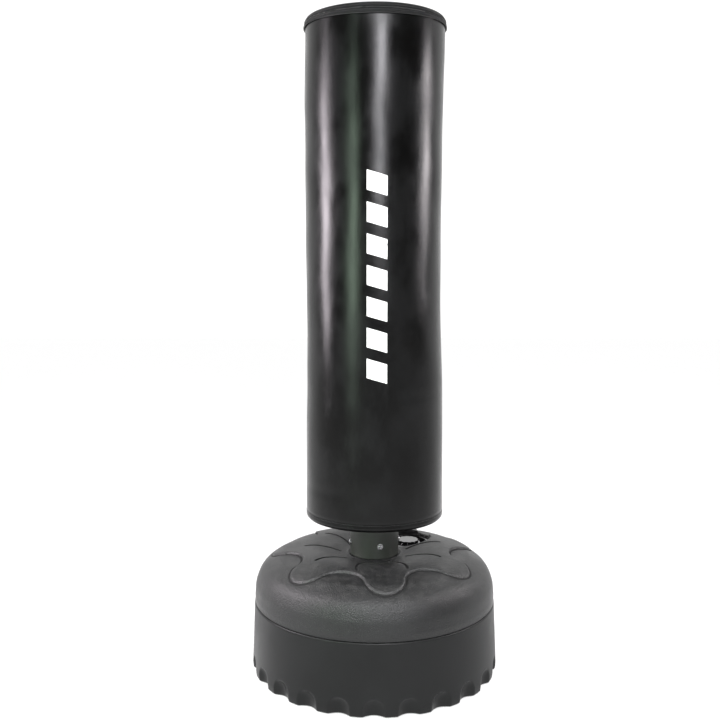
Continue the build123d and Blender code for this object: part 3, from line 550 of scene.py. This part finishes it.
def make_dome():
    """The upper shell: a grained dome with raised petals, curved grooves and a seat for the filler."""
    shoulder = curve_through(DOME_LINE[:4], 46)
    plateau = np.linspace(0.257, 0.0612, 122)[1:]
    plateau_line = np.stack([plateau, along(DOME_LINE, plateau)], -1)
    edge = [(SEAM_RADIUS - 0.0075, SEAM_HEIGHT - 0.004), (SEAM_RADIUS - 0.004, SEAM_HEIGHT + 0.0004),
            (SEAM_RADIUS - 0.0025, SEAM_HEIGHT + 0.0010), (SEAM_RADIUS - 0.0012, SEAM_HEIGHT + 0.0028)]
    profile = np.vstack([edge, shoulder, plateau_line])

    def shape(angle, radius, height):
        x, y = radius * np.sin(angle), -radius * np.cos(angle)
        inside = petal_wall(x, y)
        crown = np.maximum(along(CROWN_LINE, radius) - height, 0.0015)
        crown = np.where((radius < 0.298) & (height > 0.27), crown, 0)
        # The crown melts into the dome towards the neck.
        crown = crown * smooth((radius - 0.075) / 0.05)
        raised = crown * smooth((inside + 0.001) / 0.0045)
        # A faint trough outside each petal's wall, the cut grooves, and a low ring round the neck.
        sunk = -0.0016 * np.exp(-((inside + 0.0015) / 0.0022) ** 2) * (radius > 0.15)
        cut = -0.003 * smooth((0.0040 - groove_line(x, y)) / 0.0022)
        ring = 0.0030 * np.exp(-((radius - 0.0715) / 0.0028) ** 2)
        height = height + raised + sunk + cut + ring
        well = np.hypot(x - WELL_CENTRE.x, y - WELL_CENTRE.y)
        # The dome comes down to the well's rim all round it.
        lip = smooth((well - WELL_RIM - 0.0004) / 0.0045)
        height = np.where(radius < 0.24, WELL_SEAT - 0.0006 + (height - WELL_SEAT + 0.0006) * lip, height)
        return radius, height

    dome = turned("dome", profile, 576, shape,
                  keep=lambda x, y, z: np.hypot(x - WELL_CENTRE.x, y - WELL_CENTRE.y) > WELL_RIM - 0.004,
                  marks={"petal_wall": petal_wall, "groove_line": groove_line})
    return dress(dome, "base", FINISH["dome_plastic"], ["base_upper_shell"])


def flute_tree():
    """Geometry Nodes: press flutes round a turned skirt, deepest at the foot."""
    tree, given, result = start_group(
        "pressed flutes",
        [("Geometry", "NodeSocketGeometry", None), ("Flutes", FLOAT, 24.0), ("Depth", FLOAT, 0.014),
         ("Height", FLOAT, 0.05), ("Half width", FLOAT, 0.026), ("Inner radius", FLOAT, 0.29),
         ("Material", "NodeSocketMaterial", None)],
        [("Geometry", "NodeSocketGeometry")], "GeometryNodeTree")
    soft_rim, fade = 0.09, 0.03
    place = put(tree, "GeometryNodeInputPosition").outputs[0]
    x, y, z = put(tree, "ShaderNodeSeparateXYZ", {0: place}).outputs
    squares = maths(tree, "ADD", maths(tree, "MULTIPLY", x, x), maths(tree, "MULTIPLY", y, y))
    radius = maths(tree, "SQRT", squares)
    angle = maths(tree, "ARCTAN2", x, maths(tree, "MULTIPLY", y, -1.0))
    step = maths(tree, "DIVIDE", TURN, given.outputs["Flutes"])
    off = maths(tree, "PINGPONG", maths(tree, "ADD", angle, TURN), maths(tree, "MULTIPLY", step, 0.5))
    share = maths(tree, "DIVIDE", maths(tree, "MULTIPLY", off, radius), given.outputs["Half width"])
    rise = maths(tree, "POWER", maths(tree, "DIVIDE", z, given.outputs["Height"]), 2.0)
    # A flute is a rounded hollow: deepest in the middle at the foot, with a softened rim.
    away = maths(tree, "ADD", maths(tree, "MULTIPLY", share, share), maths(tree, "MULTIPLY", rise, rise))
    inside = maths(tree, "SUBTRACT", 1.0, away, clamp=True)
    hollow = maths(tree, "DIVIDE", maths(tree, "MULTIPLY", inside, inside),
                   maths(tree, "ADD", inside, soft_rim))
    outside = maths(tree, "SUBTRACT", radius, given.outputs["Inner radius"])
    reach = maths(tree, "DIVIDE", outside, fade, clamp=True)
    press = maths(tree, "MULTIPLY", maths(tree, "MULTIPLY", hollow, given.outputs["Depth"]), reach)
    scale = maths(tree, "SUBTRACT", 1.0, maths(tree, "DIVIDE", press, radius))
    moved = put(tree, "ShaderNodeCombineXYZ", {0: maths(tree, "MULTIPLY", x, scale),
                                               1: maths(tree, "MULTIPLY", y, scale), 2: z}).outputs[0]
    pressed = put(tree, "GeometryNodeSetPosition", {"Geometry": given.outputs["Geometry"], "Position": moved})
    real = put(tree, "GeometryNodeRealizeInstances", {0: pressed.outputs[0]})
    done = put(tree, "GeometryNodeSetMaterial", {0: real.outputs[0], "Material": given.outputs["Material"]})
    tree.links.new(done.outputs[0], result.inputs[0])
    return tree


def ring_tree():
    """Geometry Nodes: copies of the object's own mesh in a ring round the axis, each a little uneven."""
    tree, given, result = start_group(
        "ring of copies",
        [("Geometry", "NodeSocketGeometry", None), ("Count", "NodeSocketInt", 100), ("Radius", FLOAT, 0.18),
         ("Height", FLOAT, 1.0), ("Uneven", FLOAT, 0.05), ("Seed", "NodeSocketInt", 1),
         ("Material", "NodeSocketMaterial", None)],
        [("Geometry", "NodeSocketGeometry")], "GeometryNodeTree")
    ring = put(tree, "GeometryNodeMeshCircle",
               {"Vertices": given.outputs["Count"], "Radius": given.outputs["Radius"]})
    lift = put(tree, "ShaderNodeCombineXYZ", {2: given.outputs["Height"]}).outputs[0]
    raised = put(tree, "GeometryNodeSetPosition", {"Geometry": ring.outputs[0], "Offset": lift})
    place = put(tree, "ShaderNodeSeparateXYZ", {0: put(tree, "GeometryNodeInputPosition").outputs[0]})
    facing = maths(tree, "ARCTAN2", place.outputs[1], place.outputs[0])
    least = maths(tree, "MULTIPLY", given.outputs["Uneven"], -1.0)
    uneven = put(tree, "FunctionNodeRandomValue",
                 {2: least, 3: given.outputs["Uneven"], "Seed": given.outputs["Seed"]},
                 data_type="FLOAT").outputs[1]
    turn = put(tree, "ShaderNodeCombineXYZ", {0: uneven, 2: facing}).outputs[0]
    scale = put(tree, "ShaderNodeCombineXYZ", {0: 1.0, 1: maths(tree, "ADD", 1.0, uneven), 2: 1.0}).outputs[0]
    copies = put(tree, "GeometryNodeInstanceOnPoints",
                 {"Points": raised.outputs[0], "Instance": given.outputs["Geometry"], "Rotation": turn,
                  "Scale": scale})
    real = put(tree, "GeometryNodeRealizeInstances", {0: copies.outputs[0]})
    smooth_faces = put(tree, "GeometryNodeSetShadeSmooth", {0: real.outputs[0]})
    done = put(tree, "GeometryNodeSetMaterial",
               {0: smooth_faces.outputs[0], "Material": given.outputs["Material"]})
    tree.links.new(done.outputs[0], result.inputs[0])
    return tree


def grown(thing, tree, **inputs):
    """Run a Geometry Nodes tree on a piece and keep the result as its plain mesh."""
    rule = thing.modifiers.new("rule", "NODES")
    rule.node_group = tree
    sockets = {item.name: item.identifier for item in tree.interface.items_tree
               if item.item_type == "SOCKET" and item.in_out == "INPUT"}
    for label, value in inputs.items():
        rule[sockets[label.replace("_", " ")]] = value
    bpy.context.view_layer.update()
    evaluated = thing.evaluated_get(bpy.context.evaluated_depsgraph_get())
    made = bpy.data.meshes.new_from_object(evaluated)
    thing.modifiers.remove(rule)
    thing.data = made
    return thing


FLUTE_TREE, RING_TREE = flute_tree(), ring_tree()


def make_skirt():
    """The lower shell: a smooth flared skirt with pressed flutes, on a raised foot ring."""
    outer = curve_through([(0.3215, 0.0006), (0.3275, 0.0040), (0.3293, 0.0110), (FOOT_RADIUS, 0.020)], 12)
    rows = 60
    wall = np.stack([np.linspace(FOOT_RADIUS - 0.0001, SEAM_RADIUS + 0.0001, rows),
                     np.linspace(0.0225, SEAM_HEIGHT - 0.003, rows)], -1)
    top = [(SEAM_RADIUS - 0.0008, SEAM_HEIGHT - 0.0015), (SEAM_RADIUS - 0.0025, SEAM_HEIGHT - 0.0003),
           (SEAM_RADIUS - 0.008, SEAM_HEIGHT)]
    floor = [(0.0, 0.005), (0.054, 0.005), (0.057, 0.0026), (0.060, 0.005), (0.16, 0.005), (0.285, 0.005),
             (0.2872, 0.004), (0.2898, 0.0004), (0.291, 0.0)]
    ring = [(radius, 0.0) for radius in np.linspace(0.2925, 0.3205, 14)]
    skirt = turned("skirt", np.vstack([floor, ring, outer, wall, top]), FLUTES * 36)
    grown(skirt, FLUTE_TREE, Flutes=float(FLUTES), Depth=0.0138, Height=0.050, Half_width=0.029,
          Inner_radius=0.2915, Material=FINISH["skirt_plastic"])
    return dress(skirt, "base", None, ["base_lower_shell"])


# Bag


# Angle, height, reach sideways, reach upwards, depth, and the slant in radians for each metre up.
DENTS = [
    (-0.78, 1.24, 0.045, 0.10, 0.0022, 1.2), (0.75, 1.50, 0.06, 0.05, 0.0015, -0.8),
    (0.30, 1.46, 0.03, 0.09, 0.0012, 1.5), (-0.9, 0.50, 0.09, 0.010, 0.0010, 0.0),
    (0.85, 0.75, 0.07, 0.008, 0.0010, 0.6), (0.5, 0.62, 0.09, 0.07, 0.0014, 0.0),
    (2.6, 1.15, 0.08, 0.16, 0.0024, 0.6), (-2.2, 0.85, 0.07, 0.12, 0.0020, -0.7),
]
# Sharper and slanting, where the cover has been folded.
CREASES = [
    (-0.70, 1.27, 0.016, 0.085, 0.0014, 2.2), (0.20, 1.44, 0.011, 0.13, 0.0009, 1.1),
    (-0.45, 0.98, 0.014, 0.11, 0.0010, -1.4), (0.95, 1.28, 0.014, 0.10, 0.0011, 1.8),
]


def bag_shape(angle, radius, height):
    """The padded side: a faint lean of its middle, long shallow waves, and a few pressed dents."""
    waist = smooth((height - 0.45) / 0.3) * smooth((1.66 - height) / 0.2)
    lean = -0.0042 * waist * smooth((height - 0.7) / 0.35)
    swell = 0.0016 * waves(angle, height, 7, 5, longest=2.4) * waist
    swell = swell + 0.0009 * waves(angle, height, 9, 11, longest=0.9, round_limit=9) * waist

    for at_angle, at_height, wide, tall, deep, slant in DENTS + CREASES:
        away = (angle - at_angle + math.pi) % TURN - math.pi
        up = height - at_height
        across = (away + slant * up) * MEAN_RADIUS / wide
        swell = swell - deep * np.exp(-across**2 - (up / tall) ** 2)
    hem = -0.0009 * np.exp(-((height - BAG_BOTTOM - 0.022) / 0.0022) ** 2)
    moved = radius + np.where(height > BAG_BOTTOM + BAG_CORNER, swell + hem, 0)
    # A negative lean takes from the radius on the +X side and adds to it on the -X side.
    return moved + lean * np.sin(angle), height


def press_out(cover, cap):
    """Fill the cover by a cloth simulation with inner pressure. No point ends further than cap from its
    start."""
    last_frame = 20
    held = cover.vertex_groups.new(name="held")
    start = np.array([v.co for v in cover.data.vertices])
    ends = [v.index for v in cover.data.vertices
            if v.co.z < BAG_BOTTOM + 0.03 or v.co.z > BAND_BOTTOM - 0.012]
    held.add(ends, 1.0, "ADD")
    cloth = cover.modifiers.new("cloth", "CLOTH")
    cloth.settings.use_pressure = True
    cloth.settings.uniform_pressure_force = 4.0
    cloth.settings.quality = 5
    cloth.settings.mass = 0.4
    cloth.settings.tension_stiffness = cloth.settings.compression_stiffness = 40
    cloth.settings.bending_stiffness = 2.0
    cloth.settings.vertex_group_mass = "held"
    cloth.settings.effector_weights.gravity = 0
    cloth.collision_settings.use_collision = False
    cloth.point_cache.frame_start, cloth.point_cache.frame_end = 1, last_frame
    scene = bpy.context.scene
    for number in range(1, last_frame + 1):
        scene.frame_set(number)
    evaluated = cover.evaluated_get(bpy.context.evaluated_depsgraph_get())
    swollen = np.array([v.co for v in evaluated.data.vertices])
    cover.modifiers.remove(cloth)
    scene.frame_set(1)
    move = swollen - start
    length = np.linalg.norm(move, axis=1, keepdims=True)
    capped = move * np.minimum(1, cap / np.maximum(length, 1e-9))
    cover.data.vertices.foreach_set("co", (start + capped).astype(np.float32).ravel())
    cover.vertex_groups.clear()


def finely_divided(thing):
    """Subdivide a piece once, as its plain mesh."""
    divide = thing.modifiers.new("finer", "SUBSURF")
    divide.levels = divide.render_levels = 1
    evaluated = thing.evaluated_get(bpy.context.evaluated_depsgraph_get())
    made = bpy.data.meshes.new_from_object(evaluated)
    thing.modifiers.remove(divide)
    thing.data = made
    thing.data.shade_smooth()


def make_bag_cover():
    """The leathercloth cover: its rounded lower edge and its side, up to just under the band."""
    tuck = BAG_RADIUS - BAG_CORNER + 0.0018
    corner = [(tuck - 0.004, BAG_BOTTOM + 0.0030), (tuck - 0.002, BAG_BOTTOM + 0.0012)]
    for turn in np.linspace(0.12, 1, 7) * math.pi / 2:
        corner.append((BAG_RADIUS - BAG_CORNER + BAG_CORNER * math.sin(turn),
                       BAG_BOTTOM + BAG_CORNER - BAG_CORNER * math.cos(turn)))
    heights = np.concatenate([np.arange(BAG_BOTTOM + 0.0145, BAG_BOTTOM + 0.034, 0.0028),
                              np.linspace(BAG_BOTTOM + 0.036, BAND_BOTTOM + 0.004, 116)])
    side = np.stack([along(BAG_LINE, heights) - 0.0006, heights], -1)
    cover = turned("bag_cover", np.vstack([corner, side]), 128, bag_shape)
    press_out(cover, 0.003)
    finely_divided(cover)
    dress(cover, "bag", FINISH["skin_leather"], ["bag_skin"])


def make_padding():
    """The soft foam under the cover, which follows its dents."""
    low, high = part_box("outer_foam")
    heights = np.linspace(low.z, high.z, 90)
    outer = np.stack([along(BAG_LINE, heights) - 0.0062, heights], -1)
    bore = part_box("inner_foam")[1].x + 0.0003
    profile = np.vstack([outer, [(bore, high.z), (bore, low.z)]])

    def shape(angle, radius, height):
        moved, height = bag_shape(angle, radius, height)
        return np.where(radius > bore + 0.001, moved, radius), height

    foam = turned("soft_foam", profile, 96, shape, closed=True)
    dress(foam, "bag", FINISH["foam"], ["outer_foam"])


# Half the width of the sewing thread.
THREAD = 0.00045


def stitch_mesh(name, length, thick):
    """One stitch, lying along Y at the origin, sunk at both ends. It faces +X."""
    rows, sides = 5, 6
    vertices, faces = [], []
    for row in range(rows):
        share = row / (rows - 1)
        y = (share - 0.5) * length
        swell = thick * (0.45 + 0.55 * math.sin(math.pi * share))
        bow = thick * 0.55 * (math.sin(math.pi * share) - 0.6)
        for side in range(sides):
            turn = TURN * side / sides
            vertices.append((bow + swell * math.cos(turn) * 0.6, y, swell * math.sin(turn)))
    for row in range(rows - 1):
        for side in range(sides):
            beside = (side + 1) % sides
            faces.append((row * sides + side, row * sides + beside, (row + 1) * sides + beside,
                          (row + 1) * sides + side))
    faces.append(tuple(range(sides - 1, -1, -1)))
    faces.append(tuple(range((rows - 1) * sides, rows * sides)))
    thing = as_object(name, vertices, faces)
    flip_outwards(thing)
    return thing


def flip_outwards(thing):
    """Turn a closed piece's faces outwards."""
    work = bmesh.new()
    work.from_mesh(thing.data)
    bmesh.ops.recalc_face_normals(work, faces=work.faces)
    work.to_mesh(thing.data)
    work.free()


def stitch_ring(name, radius, height, pitch, seed):
    """A row of stitches round the bag."""
    count = int(TURN * radius / pitch)
    stitches = stitch_mesh(name, pitch * 0.72, THREAD)
    grown(stitches, RING_TREE, Count=count, Radius=radius, Height=height, Uneven=0.06, Seed=seed,
          Material=FINISH["thread"])
    return dress(stitches, "bag")


def make_underside():
    """The woven panel under the bag, a little slack, with its piping and the hem's stitches."""
    outer = BAG_RADIUS - BAG_CORNER - 0.0031
    inner = 0.075
    span = np.linspace(inner, outer, 24)
    under = np.stack([span, np.full_like(span, BAG_BOTTOM + 0.0003)], -1)
    over = np.stack([span[::-1], np.full_like(span, BAG_BOTTOM + 0.0024)], -1)

    def slack(angle, radius, height):
        share = (radius - inner) / (outer - inner)
        sag = 0.0006 * np.sin(math.pi * share) * waves(angle, radius * 4, 6, 21, longest=1.5, round_limit=8)
        return radius, height + np.maximum(sag, -0.0003)

    panel = turned("under_panel", np.vstack([under, over]), 160, slack, closed=True)
    flip_outwards(panel)
    dress(panel, "bag", FINISH["panel_fabric"], ["bottom_panel"])
    section = ring_loop(BAG_RADIUS - BAG_CORNER - 0.001, BAG_BOTTOM + 0.0018, 0.0017, 0.0017)
    cord = turned("under_piping", section, 200, closed=True)
    flip_outwards(cord)
    dress(cord, "bag", FINISH["piping"], ["bottom_piping"])
    row = BAG_BOTTOM + 0.019
    stitch_ring("hem_stitches", float(along(BAG_LINE, row)) - 0.0001, row, 0.0042, seed=4)


LEVEL_DROP = 0.0155
SIDE_RISE = 0.55


def band_drop(angle, drop):
    """How far below the top a point of the band comes to lie. The hem is deepest at the front and back
    and rises at the sides. What is above LEVEL_DROP, as the zip's teeth are, stays level."""
    return drop - SIDE_RISE * np.sin(angle) ** 2 * np.maximum(drop - LEVEL_DROP, 0)


def follow_band(thing):
    """Lift a finished ring at the sides, as the band is lifted."""
    count = len(thing.data.vertices)
    points = np.zeros(count * 3, np.float32)
    thing.data.vertices.foreach_get("co", points)
    points = points.reshape(-1, 3)
    angle = np.arctan2(points[:, 0], -points[:, 1])
    points[:, 2] = TOP - band_drop(angle, TOP - points[:, 2])
    thing.data.vertices.foreach_set("co", points.ravel())
    thing.data.update()


def zip_tooth(deep, wide, tall):
    """One zip tooth: a small bevelled block whose outer face is domed. It faces +X."""
    vertices, faces = [], []
    for x, grow in ((-deep / 2, 1.0), (deep * 0.2, 1.0), (deep / 2, 0.6)):
        for sy, sz in ((-1, -1), (0, -1.15), (1, -1), (1.1, 0), (1, 1), (0, 1.15), (-1, 1), (-1.1, 0)):
            vertices.append((x, sy * wide * 0.32 * grow, sz * tall * 0.42 * grow))
    for row in range(2):
        for side in range(8):
            beside = (side + 1) % 8
            faces.append((row * 8 + side, row * 8 + beside, row * 8 + 8 + beside, row * 8 + 8 + side))
    faces.append(tuple(range(7, -1, -1)))
    faces.append(tuple(range(16, 24)))
    return vertices, faces


def make_top_closure():
    """The band round the top: flared hem, zip, rim and piped lid. All of it is sewn cloth."""

    def below_top(*pairs):
        return [(radius, TOP - drop) for radius, drop in pairs]

    def fitted(unevenness, seed):
        def shape(angle, radius, height):
            height = TOP - band_drop(angle, np.maximum(TOP - height, 0))
            ripple = unevenness * waves(angle, height * 30, 6, seed, longest=2.0, round_limit=14)
            return radius + ripple, height
        return shape

    def sewn(name, loop, steps, slot, instead_of, seed, uneven=0.0003):
        piece = turned(name, loop, steps, fitted(uneven, seed), closed=True)
        flip_outwards(piece)
        return dress(piece, "bag", FINISH[slot], instead_of)

    hem = below_top((0.1805, 0.0245), (0.1826, 0.0252), (0.1837, 0.0243), (0.1838, 0.0228),
                    (0.1834, 0.0208), (0.1832, 0.0192), (0.1829, 0.0175), (0.1824, 0.0167),
                    (0.1815, 0.0160), (0.1804, 0.0161))
    sewn("band_hem", hem, 360, "band_fabric", ["hem_band"], 31)
    sewn("band_cord", ring_loop(0.1824, TOP - 0.0262, 0.0014, 0.0013, 12), 240, "piping", ["band_piping"], 32,
         0.00015)
    tape = below_top((0.1788, 0.0166), (0.1806, 0.0168), (0.1811, 0.0150), (0.1812, 0.0132),
                     (0.1811, 0.0112), (0.1804, 0.0096), (0.1788, 0.0096))
    sewn("zip_cloth", tape, 300, "band_fabric", ["zip_tape"], 33, 0.0001)
    rim = below_top((0.1788, 0.0106), (0.1812, 0.0108), (0.1819, 0.0098), (0.1815, 0.0080),
                    (0.1806, 0.0055), (0.1796, 0.0034), (0.1786, 0.0020), (0.1768, 0.0016),
                    (0.1745, 0.0026), (0.1745, 0.0050))
    sewn("lid_band", rim, 360, "band_fabric", ["lid_rim"], 34)
    sewn("lid_cord", ring_loop(0.1768, TOP - 0.0019, 0.0019, 0.0018, 14), 300, "piping", ["lid_piping"], 35,
         0.0002)

    tooth = as_object("zip_row", *zip_tooth(0.0013, 0.0021, 0.0019))
    grown(tooth, RING_TREE, Count=452, Radius=0.1817, Height=TOP - 0.013, Uneven=0.03, Seed=8,
          Material=FINISH["zip_plastic"])
    dress(tooth, "bag", None, ["zip_teeth"])
    for name, radius, height, seed in (("hem_band_stitches", 0.1832, TOP - 0.0186, 5),
                                       ("rim_stitches", 0.1815, TOP - 0.0068, 6)):
        follow_band(stitch_ring(name, radius, height, 0.0040, seed=seed))

    span = np.linspace(0.0, 0.1752, 34)
    top = np.stack([span[::-1], TOP - 0.0012 - 0.0016 * smooth((span[::-1] - 0.15) / 0.03)], -1)
    under = np.stack([span, np.full(34, TOP - 0.0048)], -1)

    def crowned(angle, radius, height):
        pucker = smooth((radius - 0.10) / 0.07) * np.sin(23 * angle + 2 * np.sin(3 * angle)) * 0.00035
        soft = 0.0006 * waves(angle, radius * 6, 7, 41, longest=2.0) * smooth(radius / 0.04)
        return radius, np.minimum(height + np.where(height > TOP - 0.004, pucker + soft, 0), TOP - 0.0004)

    lid = turned("lid_cover", np.vstack([under, top]), 180, crowned)
    dress(lid, "bag", FINISH["band_fabric"], ["lid_panel"])


def finish_nodes():
    """Give every carried-over node the finish that the record names for it."""
    slots = {part["node"]: part["material_slot"] for part in frame["record"]["subparts"]}
    for name, node in frame["nodes"].items():
        node.data.materials.clear()
        node.data.materials.append(FINISH[slots[name]])


# Camera, lights and floor


def aim(thing, target):
    """Turn a light, which looks along its own -Z, towards a point."""
    direction = Vector(target) - thing.location
    thing.rotation_euler = direction.to_track_quat("-Z", "Y").to_euler()


CAMERA_PLACE = (0, -2.3664, 1.0642)
LOOKS_DOWN, LOOKS_LEFT = math.radians(5.6713), math.radians(0.9394)
LENS, SENSOR = 44.7, 36


def make_camera():
    """The main view, from the front and a little above the bag's middle."""
    camera = bpy.data.objects.new("camera", bpy.data.cameras.new("camera"))
    camera.data.lens = LENS
    camera.data.sensor_width = SENSOR
    camera.location = CAMERA_PLACE
    camera.rotation_euler = (math.radians(90) - LOOKS_DOWN, 0, LOOKS_LEFT)
    bpy.context.collection.objects.link(camera)
    bpy.context.scene.camera = camera


def softbox(name, azimuth, distance, height, size, power, tint=(1, 1, 1), target=None):
    """A rectangular light. Azimuth 0 is straight in front, positive to the right."""
    light = bpy.data.lights.new(name, "AREA")
    light.shape = "RECTANGLE"
    light.size, light.size_y = size
    light.energy = power
    light.color = tint
    lamp = bpy.data.objects.new(name, light)
    turn = math.radians(azimuth)
    lamp.location = (distance * math.sin(turn), -distance * math.cos(turn), height)
    aim(lamp, target or (0, 0, height))
    lamp.visible_camera = False
    bpy.context.collection.objects.link(lamp)


def make_lights():
    """Tall softboxes for the bag's upright highlights, and one above for the shoulder of the base."""
    softbox("front_softbox", 9.5, 2.6, 2.2, (0.34, 1.5), 106, (0.97, 0.96, 1.0), target=(0, 0, 1.3))
    softbox("left_softbox", -83, 1.9, 1.38, (0.46, 1.0), 60, (1.0, 0.92, 0.98))
    softbox("near_left_softbox", -34, 2.6, 1.30, (0.44, 1.2), 32, (0.76, 1.0, 0.78))
    softbox("right_softbox", 91, 2.0, 1.58, (0.34, 0.75), 30, (1.0, 0.95, 0.97))
    softbox("shoulder_softbox", -12, 1.9, 2.9, (1.1, 0.5), 30, target=(0, -0.3, 0.27))


def make_surroundings():
    """A plain pale floor in a pale room that is brighter behind than in front."""
    floor = as_object("floor", [(-12, -12, 0), (12, -12, 0), (12, 12, 0), (-12, 12, 0)], [(0, 1, 2, 3)])
    material = bpy.data.materials.new("pale_floor")
    material.use_nodes = True
    shader = material.node_tree.nodes["Principled BSDF"]
    shader.inputs["Base Color"].default_value = (0.40, 0.40, 0.40, 1)
    shader.inputs["Emission Color"].default_value = (1, 1, 1, 1)
    shader.inputs["Emission Strength"].default_value = 0.58
    shader.inputs["Roughness"].default_value = 0.7
    shader.inputs["Specular IOR Level"].default_value = 0.2
    floor.data.materials.append(material)

    world = bpy.data.worlds.new("studio")
    world.use_nodes = True
    bpy.context.scene.world = world
    tree = world.node_tree
    towards = put(tree, "ShaderNodeSeparateXYZ", {0: put(tree, "ShaderNodeTexCoord").outputs["Generated"]})
    behind = ranged(tree, towards.outputs[1], -0.1, 0.5, 0.02, 1.15)
    above = ranged(tree, towards.outputs[2], 0.42, 0.8, 0.0, 1.15)
    # The room itself is pale all round; only its light on the object is dim in front.
    light = maths(tree, "MAXIMUM", behind, above)
    seen = put(tree, "ShaderNodeLightPath").outputs["Is Camera Ray"]
    tree.links.new(maths(tree, "MAXIMUM", light, seen), tree.nodes["Background"].inputs["Strength"])
    tree.nodes["Background"].inputs["Color"].default_value = (1, 1, 1, 1)
    bpy.context.scene.view_settings.view_transform = "Standard"


finish_nodes()
make_dome()
make_skirt()
make_bag_cover()
make_padding()
make_underside()
make_top_closure()
make_camera()
make_lights()
make_surroundings()
